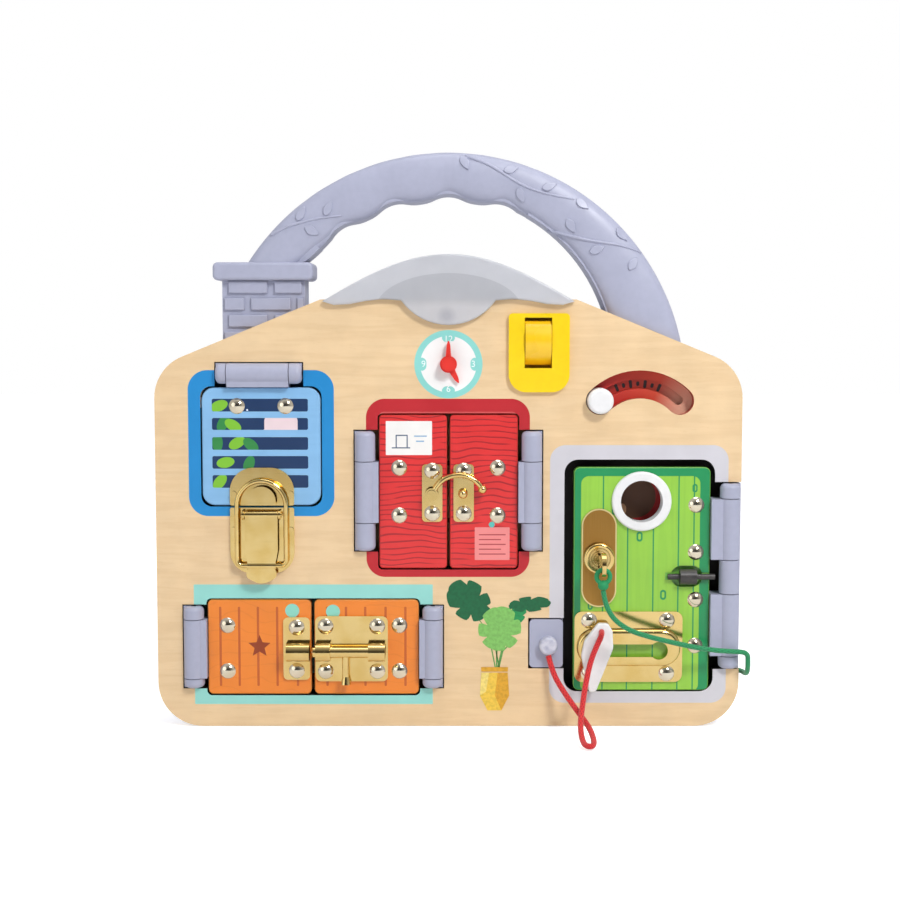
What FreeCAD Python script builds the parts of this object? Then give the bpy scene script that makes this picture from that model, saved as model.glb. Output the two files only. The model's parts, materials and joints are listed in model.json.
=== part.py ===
# A wooden busy board for a small child, shaped like a house front, with six small doors and gadgets.
# X runs to the right, Y to the back and Z up, in millimetres, and the board stands on z = 0.
import FreeCAD, Part
import math
import os

V = FreeCAD.Vector

# Board, seen from the front
board_width = 300.0
eave_height = 185.2
roof_angle = 22.3
roof_cut_height = 220.0
bottom_corner = 23.0
eave_corner = 23.0

# Depth of the board, from the wooden front to the plastic back
front_y = -15.0
panel_thick = 7.0
chassis_depth = 23.0
chassis_wall = 2.5
chassis_inset = 1.0
back_y = front_y + panel_thick + chassis_depth
panel_back_y = front_y + panel_thick
half_width = board_width / 2
apex_height = eave_height + half_width * math.tan(math.radians(roof_angle))

# Handle, an arch over the roof
handle_centre_z = 172.4
handle_outer_radius = 122.4
grip_valley_radius = 101.3
grip_bulge_radius = 98.2
grip_step = 16.7
grip_first = -33.4
grip_count = 4
handle_foot_radius = 90.0
handle_round = 4.5
handle_wall = 2.6
handle_split_y = (panel_back_y + back_y) / 2

# Chimney at the left foot of the handle
chimney_left = -115.8
chimney_right = -73.4
cap_over = 4.4
cap_bottom = 229.8
cap_top = 239.0
brick_relief = 0.6
brick_height = 6.3
brick_joint = 2.3

# Clearances
door_clear = 0.3
run_clear = 0.3
pin_clear = 0.15

# Hinges
knuckle_radius = 5.25
knuckle_dome = 2.6
hinge_gap = 7.2
hinge_pin_radius = 1.25
knuckle_slit = 0.4
leaf_thick = 2.0
leaf_web_back = 3.4
notch_clear = 0.6
edge_clear = 0.1

# Screws with round heads
screw_head_radius = 4.1
screw_head_height = 1.8
screw_shank_radius = 1.5
screw_length = 9.0

# Thin metal plates on the doors
plate_thick = 1.2

# Picture cards behind the doors
card_thick = 1.5
card_y = 2.0
well_wall = 2.0
well_margin = 1.5

# Blue flap, hinged along its top
flap_left = -125.9
flap_right = -65.3
flap_top = 175.3
flap_bottom = 115.0
flap_corner = 6.5
flap_knuckle_left = -112.7
flap_knuckle_right = -81.3
flap_hinge_left = -118.5
flap_hinge_right = -74.6
flap_screw_inset = 9.4
flap_screw_half = 12.4

# Red doors, a pair
red_half_gap = 0.75
red_door_width = 34.7
red_bottom = 82.4
red_top = 161.4
red_hinge_bottom = 91.7
red_hinge_top = 153.1
red_knuckle_bottom = 106.3
red_knuckle_top = 137.4
red_screw_inset = 10.2
red_screw_low = 109.7
red_screw_high = 134.2

# Orange doors, a pair with a bolt
orange_left = -124.0
orange_right = -15.3
orange_middle = -69.95
orange_half_gap = 0.85
orange_bottom = 16.8
orange_top = 66.1
orange_hinge_bottom = 20.4
orange_hinge_top = 62.9
orange_knuckle_bottom = 25.6
orange_knuckle_top = 55.9
orange_screw_inset = 10.0
orange_screw_low = 28.8
orange_screw_high = 52.6

# Green door, hinged at the right edge of the board
green_left = 64.4
green_right = 134.2
green_bottom = 18.8
green_top = 134.5
green_corner = 3.0
green_open_left = 59.4
green_open_right = 136.5
green_open_bottom = 18.2
green_open_top = 138.5
green_axis_x = 144.4
green_screw_x = 127.1
green_screw_z = (42.1, 66.1, 90.7, 115.1)
green_fixed_spans = ((118.8, 126.3), (69.7, 86.9), (30.6, 37.0))
green_door_spans = ((37.4, 69.3), (87.3, 118.4))


def unit(dx, dz):
    length = math.hypot(dx, dz)
    return dx / length, dz / length


def at(x, z, y=0.0):
    return V(x, y, z)


def corner_arc(before, corner, after, radius):
    # Start, middle and end of the arc that rounds one corner.
    ux, uz = unit(before[0] - corner[0], before[1] - corner[1])
    wx, wz = unit(after[0] - corner[0], after[1] - corner[1])
    half = math.acos(max(-1.0, min(1.0, ux * wx + uz * wz))) / 2
    reach = radius / math.tan(half)
    bx, bz = unit(ux + wx, uz + wz)
    to_mid = radius / math.sin(half) - radius
    start = (corner[0] + ux * reach, corner[1] + uz * reach)
    middle = (corner[0] + bx * to_mid, corner[1] + bz * to_mid)
    end = (corner[0] + wx * reach, corner[1] + wz * reach)
    return start, middle, end


def outline(points, radii):
    # A closed outline in the XZ plane with rounded corners.
    count = len(points)
    if not isinstance(radii, (list, tuple)):
        radii = [radii] * count
    arcs = []
    for i, corner in enumerate(points):
        before = points[i - 1]
        after = points[(i + 1) % count]
        if radii[i] > 0:
            arcs.append(corner_arc(before, corner, after, radii[i]))
        else:
            arcs.append((corner, None, corner))
    edges = []
    for i, (start, middle, end) in enumerate(arcs):
        if middle:
            edges.append(Part.Arc(at(*start), at(*middle), at(*end)).toShape())
        following = arcs[(i + 1) % count][0]
        if math.dist(end, following) > 1e-6:
            edges.append(Part.LineSegment(at(*end), at(*following)).toShape())
    return Part.Wire(edges)


def slab(points, radii, y0, y1):
    face = Part.Face(outline(points, radii))
    face.translate(V(0, y0, 0))
    return face.extrude(V(0, y1 - y0, 0))


def rect(x0, x1, z0, z1):
    return [(x0, z0), (x1, z0), (x1, z1), (x0, z1)]


def block(x0, x1, y0, y1, z0, z1):
    return Part.makeBox(x1 - x0, y1 - y0, z1 - z0, V(x0, y0, z0))


def disc(x, z, radius, y0, y1):
    return Part.makeCylinder(radius, y1 - y0, V(x, y0, z), V(0, 1, 0))


def rod(radius, start, end):
    start = V(*start)
    way = V(*end) - start
    return Part.makeCylinder(radius, way.Length, start, way)


def fuse(shapes):
    whole = shapes[0].multiFuse(shapes[1:])
    return whole.removeSplitter()


def cut(shape, tools):
    for tool in tools:
        shape = shape.cut(tool)
    return shape


def save(name, shapes):
    if not isinstance(shapes, (list, tuple)):
        shapes = [shapes]
    solids = []
    for shape in shapes:
        solids += shape.Solids
    whole = solids[0] if len(solids) == 1 else Part.makeCompound(solids)
    for solid in solids:
        if not solid.isValid() or solid.Volume <= 0:
            print("BAD", name)
    print(name, len(solids), round(whole.Volume / 1000, 2), "cm3")
    whole.exportStep("parts/" + name + ".step")


def screw(x, z, surface_y, length=screw_length):
    # A round-headed screw driven from the front.
    rise = screw_head_height
    sphere_radius = (screw_head_radius ** 2 + rise ** 2) / (2 * rise)
    ball = Part.makeSphere(sphere_radius, V(x, surface_y - rise + sphere_radius, z))
    head = ball.common(disc(x, z, screw_head_radius + 1, surface_y - rise - 1, surface_y))
    return fuse([head, disc(x, z, screw_shank_radius, surface_y, surface_y + length)])


def screw_hole(x, z, surface_y, length=screw_length):
    return disc(x, z, screw_shank_radius, surface_y - 1, surface_y + length)


def board_points(inset):
    # Corners of the house outline, moved inwards by the inset, with the roof cut flat at the top.
    slope = math.radians(roof_angle)
    side = half_width - inset
    apex = apex_height - inset / math.cos(slope)
    eave = apex - side * math.tan(slope)
    flat = roof_cut_height - inset
    flat_half = (apex - flat) / math.tan(slope)
    base = max(inset - chassis_inset, 0)
    return [(-side, base), (side, base), (side, eave), (flat_half, flat), (-flat_half, flat),
            (-side, eave)]


def board_slab(inset, y0, y1):
    low = max(bottom_corner - inset, 1)
    high = max(eave_corner - inset, 1)
    return slab(board_points(inset), [low, low, high, 0, 0, high], y0, y1)


def knuckle(low, high, bottom, top):
    # One barrel of a hinge on Z, with a round edge where it is the end of the hinge.
    barrel = rod(knuckle_radius, (0, 0, low), (0, 0, high))
    rounded = [z for z in (low, high) if z in (bottom, top)]
    edges = [e for e in barrel.Edges if e.BoundBox.ZLength < 0.01
             and min([abs(e.BoundBox.ZMin - z) for z in rounded] + [1]) < 0.01]
    return barrel.makeFillet(knuckle_dome, edges) if edges else barrel


def hinge(door_spans, fixed_spans, gap=hinge_gap, flange=22.0):
    # Axis on Z at the origin, door towards +X, front towards -Y. Gives leaf, fixed part and pin.
    leaf = []
    fixed = []
    ends = [z for span in list(door_spans) + list(fixed_spans) for z in span]
    bottom = min(ends)
    top = max(ends)
    for low, high in door_spans:
        leaf.append(knuckle(low, high, bottom, top))
        leaf.append(block(0, gap - door_clear, -leaf_web_back, panel_thick + leaf_thick, low, high))
        leaf.append(block(0, flange, panel_thick, panel_thick + leaf_thick, low, high))
    leaf.append(block(gap - 1, flange, panel_thick, panel_thick + leaf_thick, door_spans[0][0],
            door_spans[-1][1]))
    for low, high in fixed_spans:
        fixed.append(knuckle(low, high, bottom, top))
        fixed.append(block(-knuckle_radius, knuckle_radius / 2, 0, panel_thick + leaf_thick, low, high))
        shelf_left = -knuckle_radius - well_margin - well_wall
        fixed.append(block(shelf_left, knuckle_radius / 2, panel_thick,
                panel_thick + 2 * leaf_thick, low, high))
    pin = rod(hinge_pin_radius, (0, 0, bottom), (0, 0, top))
    bore = rod(hinge_pin_radius + pin_clear, (0, 0, bottom), (0, 0, top))
    return fuse(leaf).cut(bore), fuse(fixed).cut(pin), pin


def place(shapes, x, z, turn):
    # Turn a hinge built at the origin into its place on the board.
    placed = []
    for shape in shapes:
        shape = shape.copy()
        if turn == "right":
            shape = shape.mirror(V(0, 0, 0), V(1, 0, 0))
        if turn == "top":
            shape.rotate(V(0, 0, 0), V(0, 1, 0), 90)
        shape.translate(V(x, front_y, z))
        placed.append(shape)
    return placed


def plate(points, radii, thick=plate_thick):
    return slab(points, radii, front_y - thick, front_y)


# Hinge axes
blue_axis_z = flap_top + hinge_gap
red_left_axis = -red_half_gap - red_door_width - hinge_gap
red_right_axis = -red_left_axis
orange_left_axis = orange_left - hinge_gap
orange_right_axis = orange_right + hinge_gap
blue_hinge = hinge([(flap_knuckle_left, flap_knuckle_right)],
                   [(flap_hinge_left, flap_knuckle_left - knuckle_slit),
                    (flap_knuckle_right + knuckle_slit, flap_hinge_right)])
red_spans = ([(red_knuckle_bottom, red_knuckle_top)],
             [(red_hinge_bottom, red_knuckle_bottom - knuckle_slit),
              (red_knuckle_top + knuckle_slit, red_hinge_top)])
orange_spans = ([(orange_knuckle_bottom, orange_knuckle_top)],
                [(orange_hinge_bottom, orange_knuckle_bottom - knuckle_slit),
                 (orange_knuckle_top + knuckle_slit, orange_hinge_top)])
green_gap = green_axis_x - green_right
hinges = {
    "blue": place(blue_hinge, 0, blue_axis_z, "top"),
    "red_left": place(hinge(*red_spans), red_left_axis, 0, "left"),
    "red_right": place(hinge(*red_spans), red_right_axis, 0, "right"),
    "orange_left": place(hinge(*orange_spans), orange_left_axis, 0, "left"),
    "orange_right": place(hinge(*orange_spans), orange_right_axis, 0, "right"),
    "green": place(hinge(green_door_spans, green_fixed_spans, green_gap), green_axis_x, 0, "right"),
}
notch = knuckle_radius + notch_clear

# Openings in the wooden front: left, right, bottom, top of each doorway with its hinge notch
door_gap = 0.7
doorways = [
    (flap_left - door_gap, flap_right + door_gap, flap_bottom - door_gap, flap_top + door_gap),
    (flap_hinge_left - door_gap, flap_hinge_right + door_gap, flap_top - 1, blue_axis_z + notch),
    (red_left_axis + hinge_gap - door_gap, red_right_axis - hinge_gap + door_gap,
     red_bottom - door_gap, red_top + door_gap),
    (red_left_axis - notch, red_right_axis + notch, red_hinge_bottom - door_gap,
            red_hinge_top + door_gap),
    (orange_left - door_gap, orange_right + door_gap, orange_bottom - door_gap, orange_top + door_gap),
    (orange_left_axis - notch, orange_right_axis + notch,
     orange_hinge_bottom - door_gap, orange_hinge_top + door_gap),
    (green_open_left, green_open_right, green_open_bottom, green_open_top),
    (green_open_right - 1, half_width + 1, green_fixed_spans[2][0] - door_gap,
     green_fixed_spans[0][1] + door_gap),
]
wells = [
    (flap_left - well_margin, flap_right + well_margin, flap_bottom - well_margin,
     blue_axis_z + knuckle_radius + well_margin),
    (red_left_axis - knuckle_radius - well_margin, red_right_axis + knuckle_radius + well_margin,
     red_bottom - well_margin, red_top + well_margin),
    (orange_left_axis - knuckle_radius - well_margin, orange_right_axis + knuckle_radius + well_margin,
     orange_bottom - well_margin, orange_top + well_margin),
    (green_open_left, half_width - chassis_inset - chassis_wall, green_open_bottom, green_open_top),
]

# Round slider on an arc slot
arc_x = 97.7
arc_z = 147.8
arc_radius = 29.1
arc_half_angle = 44.6
arc_knob_radius = 6.6
arc_slot_half = 7.15
arc_neck_radius = 2.0
arc_plate_thick = 1.5
arc_plate_over = 5.0

# Yellow switch
switch_left = 30.6
switch_right = 61.5
switch_bottom = 173.0
switch_top = 213.0
switch_rise = 2.4
rocker_left = 39.0
rocker_right = 52.3
rocker_bottom = 186.2
rocker_top = 209.8
rocker_tilt = 7.0
rocker_radius = 15.0

# Clock
clock_z = 187.2
clock_pin_radius = 1.6
clock_hub_radius = 4.3
minute_length = 12.8
hour_length = 11.6
hand_thick = 1.2

# Light over the roof
lens_front_y = -18.4
lens_wall = 2.2
lens_rise = 22.6
lens_roof = 7.6
room_half = 30.0

# Lamps under the light cap
lamp_clear = 0.5
lamp_board_half = 17.0
lamp_board_height = 8.5
lamp_pitch = 10.0
lamp_radius = 2.5
lamp_y = -8.0
lamp_reach = 4.0
lens_half = 63.0

# Knob that holds the red cord
anchor_x = 51.4
anchor_z = 42.7
anchor_radius = 4.7
anchor_front = -20.5
anchor_pad = (41.8, 59.0, 30.9, 55.9)

# Batteries: three of the small size
cell_radius = 5.25
cell_length = 44.5
cell_pitch = 11.2
cell_count = 3
cell_first_z = 178.5
cell_y = 7.0
box_half = 26.5
cover_thick = 2.0

# Screws from the back: places of the bosses
boss_places = [(-100, 8), (20, 8), (108, 8), (-138, 150), (138, 152), (-57, 100), (57, 140), (25, 45),
               (-46, 200), (74, 200)]
boss_radius = 4.0
boss_screw_radius = 1.4
boss_head_radius = 2.8
boss_head_y = 4.0


def ring_sector(inner, outer, first, last, y0, y1, centre_x, centre_z):
    # A flat curved bar between two angles, measured from the top, with flat ends.
    def point(radius, angle):
        turn = math.radians(angle)
        return at(centre_x + radius * math.sin(turn), centre_z + radius * math.cos(turn), y0)
    middle = (first + last) / 2
    edges = [
        Part.Arc(point(outer, first), point(outer, middle), point(outer, last)).toShape(),
        Part.LineSegment(point(outer, last), point(inner, last)).toShape(),
        Part.Arc(point(inner, last), point(inner, middle), point(inner, first)).toShape(),
        Part.LineSegment(point(inner, first), point(outer, first)).toShape(),
    ]
    return Part.Face(Part.Wire(edges)).extrude(V(0, y1 - y0, 0))


def arc_slot(half, y0, y1):
    slot = ring_sector(arc_radius - half, arc_radius + half, -arc_half_angle, arc_half_angle, y0,
            y1, arc_x, arc_z)
    turn = math.radians(arc_half_angle)
    ends = [disc(arc_x + side * arc_radius * math.sin(turn), arc_z + arc_radius * math.cos(turn),
            half, y0, y1)
            for side in (-1, 1)]
    return fuse([slot] + ends)


def front_panel():
    panel = board_slab(0, front_y, panel_back_y)
    deep = (front_y - 1, panel_back_y + 1)
    for left, right, bottom, top in doorways:
        panel = panel.cut(block(left, right, deep[0], deep[1], bottom, top))
    left, right, bottom, top = anchor_pad
    panel = panel.cut(block(left - door_gap, green_open_left + 1, deep[0], deep[1],
            bottom - door_gap, top + door_gap))
    panel = panel.cut(arc_slot(arc_slot_half, *deep))
    panel = panel.cut(block(switch_left + 3, switch_right - 3, deep[0], deep[1], switch_bottom + 3,
            switch_top - 2))
    panel = panel.cut(disc(0, clock_z, clock_pin_radius, *deep))
    for x, z in boss_places:
        panel = panel.cut(disc(x, z, boss_screw_radius, panel_back_y - 5, panel_back_y + 1))
    save("front_panel", panel)


def grip_point(radius, angle):
    turn = math.radians(angle)
    return at(radius * math.sin(turn), handle_centre_z + radius * math.cos(turn))


def handle_face():
    # The arch, with its inner edge waved for the fingers.
    middle_radius = (grip_valley_radius + grip_bulge_radius) / 2
    half = grip_step / 4
    edges = []
    first = grip_first - 3 * half
    edges.append(Part.Arc(grip_point(grip_valley_radius, -52), grip_point(grip_valley_radius - 1.5, -49),
                          grip_point(middle_radius, first + 2 * half)).toShape())
    for i in range(grip_count):
        valley = grip_first + i * grip_step
        edges.append(Part.Arc(grip_point(middle_radius, valley - half),
                grip_point(grip_valley_radius, valley),
                              grip_point(middle_radius, valley + half)).toShape())
        if i < grip_count - 1:
            edges.append(Part.Arc(grip_point(middle_radius, valley + half),
                                  grip_point(grip_bulge_radius, valley + 2 * half),
                                  grip_point(middle_radius, valley + 3 * half)).toShape())
    last = grip_first + (grip_count - 1) * grip_step + half
    edges.append(Part.Arc(grip_point(middle_radius, last), grip_point(95.9, 41),
            grip_point(handle_foot_radius, 66)).toShape())
    edges.append(Part.LineSegment(grip_point(handle_foot_radius, 66),
            grip_point(handle_outer_radius, 84)).toShape())
    edges.append(Part.Arc(grip_point(handle_outer_radius, 84), grip_point(handle_outer_radius, 0),
                          grip_point(handle_outer_radius, -57)).toShape())
    edges.append(Part.LineSegment(grip_point(handle_outer_radius, -57),
            grip_point(grip_valley_radius, -52)).toShape())
    return Part.Face(Part.Wire(edges))


def grip_rounding(rounded_y, inwards):
    # A curved wedge that rounds the front or back edge of the finger grips.
    radius = handle_round
    low = grip_bulge_radius

    def point(along, depth):
        return V(0, rounded_y + inwards * depth, handle_centre_z + low + along)
    shade = radius * (1 - math.sqrt(0.5))
    edges = [
        Part.LineSegment(point(-4, -1), point(radius, -1)).toShape(),
        Part.LineSegment(point(radius, -1), point(radius, 0)).toShape(),
        Part.Arc(point(radius, 0), point(shade, shade), point(0, radius)).toShape(),
        Part.LineSegment(point(0, radius), point(-4, radius)).toShape(),
        Part.LineSegment(point(-4, radius), point(-4, -1)).toShape(),
    ]
    face = Part.Face(Part.Wire(edges))
    face.rotate(V(0, 0, handle_centre_z), V(0, 1, 0), grip_first - grip_step / 2)
    return face.revolve(V(0, 0, handle_centre_z), V(0, 1, 0), grip_count * grip_step - 1)


def half_handle(y0, y1, rounded_y):
    # One half of the arch and of the chimney, above the roof of the board.
    arch = handle_face()
    arch.translate(V(0, y0, 0))
    arch = arch.extrude(V(0, y1 - y0, 0))
    outer = [e for e in arch.Edges if abs(e.BoundBox.YMin - rounded_y) < 0.01
             and e.BoundBox.YLength < 0.01 and e.Length > 2 * handle_outer_radius]
    arch = arch.makeFillet(handle_round, outer)
    arch = arch.cut(grip_rounding(rounded_y, 1 if rounded_y == y0 else -1))
    middle = (y0 + y1) / 2
    depth = y1 - y0 - handle_wall
    inner_y = y1 - depth if rounded_y == y0 else y0
    arch = arch.cut(ring_sector(grip_valley_radius + handle_wall, handle_outer_radius - handle_wall,
            -42, 52,
                                inner_y, inner_y + depth, 0, handle_centre_z))
    arch = arch.cut(block(-half_width, -20, y0 - 1, y1 + 1, 0, cap_top - 2))
    cap_half = (chimney_right - chimney_left) / 2 + cap_over
    chimney_x = (chimney_left + chimney_right) / 2
    cap = slab(rect(chimney_x - cap_half, chimney_x + cap_half, cap_bottom, cap_top), 2.5, y0, y1)
    stack = slab(rect(chimney_left, chimney_right, eave_height, cap_bottom + 1), 0, y0 + 0.8, y1 - 0.8)
    row = 0
    bricks = []
    top = cap_bottom - 0.2
    width = chimney_right - chimney_left
    while rounded_y == y0 and top > eave_height + 12:
        splits = [0.07, 0.55, 0.63, 0.97] if row % 2 == 0 else [0.02, 0.27, 0.34, 0.83, 0.90, 0.99]
        for left, right in zip(splits[::2], splits[1::2]):
            bricks.append(block(chimney_left + left * width, chimney_left + right * width,
                                y0 + 0.8 - brick_relief, y0 + 1.8, top - brick_height, top))
        top -= brick_height + brick_joint
        row += 1
    body = fuse([arch, cap, stack] + bricks)
    return body.cut(board_slab(chassis_inset, y0 - 1, y1 + 1))


def chassis():
    body = board_slab(chassis_inset, panel_back_y, back_y)
    body = body.cut(board_slab(chassis_inset + chassis_wall, panel_back_y - 1, back_y - chassis_wall))
    added = []
    for left, right, bottom, top in wells:
        outer = block(left - well_wall, right + well_wall, panel_back_y, back_y - chassis_wall + 0.5,
                      bottom - well_wall, top + well_wall)
        outer = outer.cut(block(left, right, panel_back_y - 1, card_y + card_thick, bottom, top))
        outer = outer.cut(block(left, right, card_y + card_thick + well_wall, back_y, bottom, top))
        added.append(outer.common(board_slab(chassis_inset, panel_back_y, back_y)))
    for x, z in boss_places:
        added.append(disc(x, z, boss_radius, panel_back_y, back_y - 0.5))
    left, right, bottom, top = anchor_pad
    added.append(slab(rect(left, right, bottom, top), 2.0, front_y - 0.5, panel_back_y + 0.5))
    added.append(block(left, green_open_left - 0.5, panel_back_y, panel_back_y + 2.0, bottom - 2,
            top + 2))
    box_bottom = cell_first_z - cell_radius - 1.5
    box_top = cell_first_z + (cell_count - 1) * cell_pitch + cell_radius + 1.5
    added.append(block(-box_half - well_wall, box_half + well_wall,
            cell_y - cell_radius - well_wall - 0.5,
                       back_y - 0.5, box_bottom - well_wall, box_top + well_wall))
    body = fuse([body] + added)
    body = body.cut(block(-box_half, box_half, cell_y - cell_radius - 0.5, back_y - cover_thick,
            box_bottom, box_top))
    body = body.cut(slab(rect(-box_half - 1, box_half + 1, box_bottom - 1, box_top + 1), 2.0,
                         back_y - cover_thick, back_y + 1))
    # Room behind the door frame for the tongue of the lock
    body = body.cut(block(green_open_left - 5.5, green_open_left + 1, panel_back_y - 1, card_y,
                          lock_z - 12.5, lock_z + 6))
    for x, z in boss_places:
        body = body.cut(disc(x, z, boss_screw_radius, panel_back_y - 1, back_y + 1))
        body = body.cut(disc(x, z, boss_head_radius + 0.4, boss_head_y, back_y + 1))
    fixed = [hinges[name][1] for name in hinges]
    rear = half_handle(handle_split_y, back_y, back_y)
    body = fuse([body, rear] + fixed)
    body = body.cut(block(half_width - edge_clear, half_width + 20, front_y - 10, back_y, 0,
            eave_height))
    stub_hole = rod(green_cord_radius + 0.1, (half_width - 8, stub_hole_y, stub_hole_z),
                    (half_width + 1, stub_hole_y, stub_hole_z))
    save("rear_chassis", body.cut(stub_hole))
    cover = slab(rect(-box_half - 0.8, box_half + 0.8, box_bottom - 0.8, box_top + 0.8), 1.8,
                 back_y - cover_thick, back_y)
    save("battery_cover", cover)
    cells = []
    contacts = []
    for i in range(cell_count):
        z = cell_first_z + i * cell_pitch
        way = 1 if i % 2 == 0 else -1
        cells.append(fuse([rod(cell_radius, (-way * cell_length / 2, cell_y, z),
                (way * (cell_length / 2 - 1), cell_y, z)),
                           rod(2.2, (way * (cell_length / 2 - 1), cell_y, z),
                                   (way * cell_length / 2, cell_y, z))]))
        for side in (-1, 1):
            contacts.append(rod(3.2, (side * cell_length / 2, cell_y, z), (side * box_half, cell_y, z)))
    save("batteries", cells)
    save("battery_contacts", contacts)
    screws = []
    for x, z in boss_places:
        shank = disc(x, z, boss_screw_radius, panel_back_y - 5, boss_head_y)
        screws.append(fuse([shank, disc(x, z, boss_head_radius, boss_head_y, boss_head_y + 2)]))
    save("chassis_screws", screws)
    save("hinge_pins", [hinges[name][2] for name in hinges])


def lens():
    # A translucent cap on the roof with a wavy lower edge and a round lobe.
    line = [(-lens_half, -1.0), (-38, -2.4), (-24, -0.5), (-13, -8), (0, -12.6), (13, -8), (24, -1.0),
            (40, -2.4), (lens_half - 1, 0.5), (36, lens_rise - 6), (18, lens_rise),
            (-18, lens_rise), (-36, lens_rise - 6)]
    points = [(x, roof_cut_height + z) for x, z in line]
    radii = [1.0, 20, 4, 6, 9, 6, 4, 20, 1.0, 60, 60, 60, 60]
    cap = slab(points, radii, lens_front_y, back_y - 0.5)
    cap = cap.cut(board_slab(0, front_y, back_y))
    floor = roof_cut_height + lamp_clear
    roof = roof_cut_height + lens_rise - lens_roof
    room = [(-room_half, floor), (room_half, floor), (12, roof), (-12, roof)]
    cap = cap.cut(slab(room, [2, 2, 6, 6], front_y, back_y - 0.5 - lens_wall))
    save("light_lens", cap)
    back = lamp_y + lamp_reach + 1.6
    board = block(-lamp_board_half, lamp_board_half, lamp_y + lamp_reach, back,
                  floor, floor + lamp_board_height)
    lamps = []
    for x in (-lamp_pitch, 0, lamp_pitch):
        centre_z = floor + lamp_board_height / 2
        stem = disc(x, centre_z, lamp_radius, lamp_y, lamp_y + lamp_reach)
        lamps.append(fuse([stem, Part.makeSphere(lamp_radius, V(x, lamp_y, centre_z))]))
    save("lamp_board", [board] + lamps)


def clock():
    pin = disc(0, clock_z, clock_pin_radius, front_y - 5.2, panel_back_y + 1)
    collar = disc(0, clock_z, clock_hub_radius, front_y - 0.6, front_y)
    cap = disc(0, clock_z, clock_hub_radius - 0.8, front_y - 6.4, front_y - 5.2)
    save("clock_spindle", fuse([pin, collar, cap]))
    level = front_y - 0.8 - hand_thick
    for name, length, angle in (("hour_hand", hour_length, 151), ("minute_hand", minute_length, 0)):
        wide = 2.0 if name == "hour_hand" else 1.7
        outline_points = [(-wide, 0), (wide, 0), (wide * 0.55, length - 3), (0, length),
                (-wide * 0.55, length - 3)]
        arm = slab(outline_points, [0, 0, 0.6, 0.4, 0.6], level, level + hand_thick)
        hub = disc(0, 0, clock_hub_radius, level, level + hand_thick)
        hand = fuse([arm, hub]).cut(disc(0, 0, clock_pin_radius + pin_clear, level - 1, level + 3))
        hand.rotate(V(0, 0, 0), V(0, 1, 0), angle)
        hand.translate(V(0, 0, clock_z))
        save(name, hand)
        level -= hand_thick + 0.4


def switch():
    face = slab(rect(switch_left, switch_right, switch_bottom, switch_top), [9, 9, 2, 2],
            front_y - switch_rise, front_y)
    body = slab(rect(switch_left + 3.2, switch_right - 3.2, switch_bottom + 3.2, switch_top - 2.2), 1.5,
                front_y, panel_back_y + 6)
    hole = block(rocker_left - run_clear, rocker_right + run_clear, front_y - 6, panel_back_y + 4,
                 rocker_bottom - 1, rocker_top + 1)
    save("switch_housing", fuse([face, body]).cut(hole))
    middle = (rocker_bottom + rocker_top) / 2
    axis_y = front_y + 1.5
    wide = fuse([rod(rocker_radius - 0.9, (rocker_left, axis_y + 8.5, middle),
            (rocker_right, axis_y + 8.5, middle))])
    wide = wide.common(block(rocker_left, rocker_right, front_y - 7, front_y + 4,
            rocker_bottom + 0.6, rocker_top - 0.6))
    wide.rotate(V(0, axis_y, middle), V(1, 0, 0), rocker_tilt)
    save("switch_rocker", wide)


def arc_slider():
    base = arc_slot(arc_slot_half + arc_plate_over - 2, panel_back_y, panel_back_y + arc_plate_thick)
    save("arc_track_plate", base.cut(arc_slot(arc_neck_radius + 0.4, panel_back_y - 1,
            panel_back_y + 3)))
    turn = math.radians(-arc_half_angle)
    x = arc_x + arc_radius * math.sin(turn)
    z = arc_z + arc_radius * math.cos(turn)
    knob = disc(x, z, arc_knob_radius, front_y - 6, panel_back_y - run_clear)
    rim = [e for e in knob.Edges if e.BoundBox.YMax < front_y - 5.9]
    knob = knob.makeFillet(1.8, rim)
    neck = disc(x, z, arc_neck_radius, panel_back_y - run_clear,
            panel_back_y + arc_plate_thick + run_clear)
    keep = disc(x, z, 5.0, panel_back_y + arc_plate_thick + run_clear,
            panel_back_y + arc_plate_thick + 1.6)
    save("arc_knob", [fuse([knob, neck]), keep])


def cards():
    solids = []
    for left, right, bottom, top in wells:
        solids.append(block(left + 0.2, right - 0.2, card_y, card_y + card_thick, bottom + 0.2,
                top - 0.2))
    save("picture_cards", solids)

# Toggle latch of the blue flap
latch_x = -95.4
latch_half = 16.4
latch_base_bottom = 80.0
latch_base_top = 113.9
latch_catch_top = 134.4
rivet_radius = 1.6
rivet_out = 14.6
lever_half = 8.3
lever_pivot_z = 110.5
lever_pivot_y = front_y - 4.2
lever_thick = 1.6
lever_tongue_z = 76.0
loop_pivot_z = 84.5
loop_pivot_y = front_y - 4.6
loop_wire = 1.2
loop_half = 12.5
loop_top_z = 127.9
hook_half = 7.4
hook_top_z = 125.1
hook_thick = 1.2
ear_thick = 1.2
latch_pin_radius = 1.1

# Swing clasp of the red doors
clasp_plate_width = 10.4
clasp_plate_bottom = 106.6
clasp_plate_top = 136.2
clasp_left_x = -8.3
clasp_right_x = 7.8
clasp_screw_low = 110.9
clasp_screw_high = 132.8
clasp_pivot_x = -8.6
clasp_pivot_z = 120.9
clasp_arm_radius = 1.3
clasp_arm_y = front_y - 4.5
clasp_eye_radius = 3.4
clasp_ball_radius = 2.2
clasp_post_x = 7.4
clasp_post_z = 121.2
clasp_post_radius = 2.4

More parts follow.
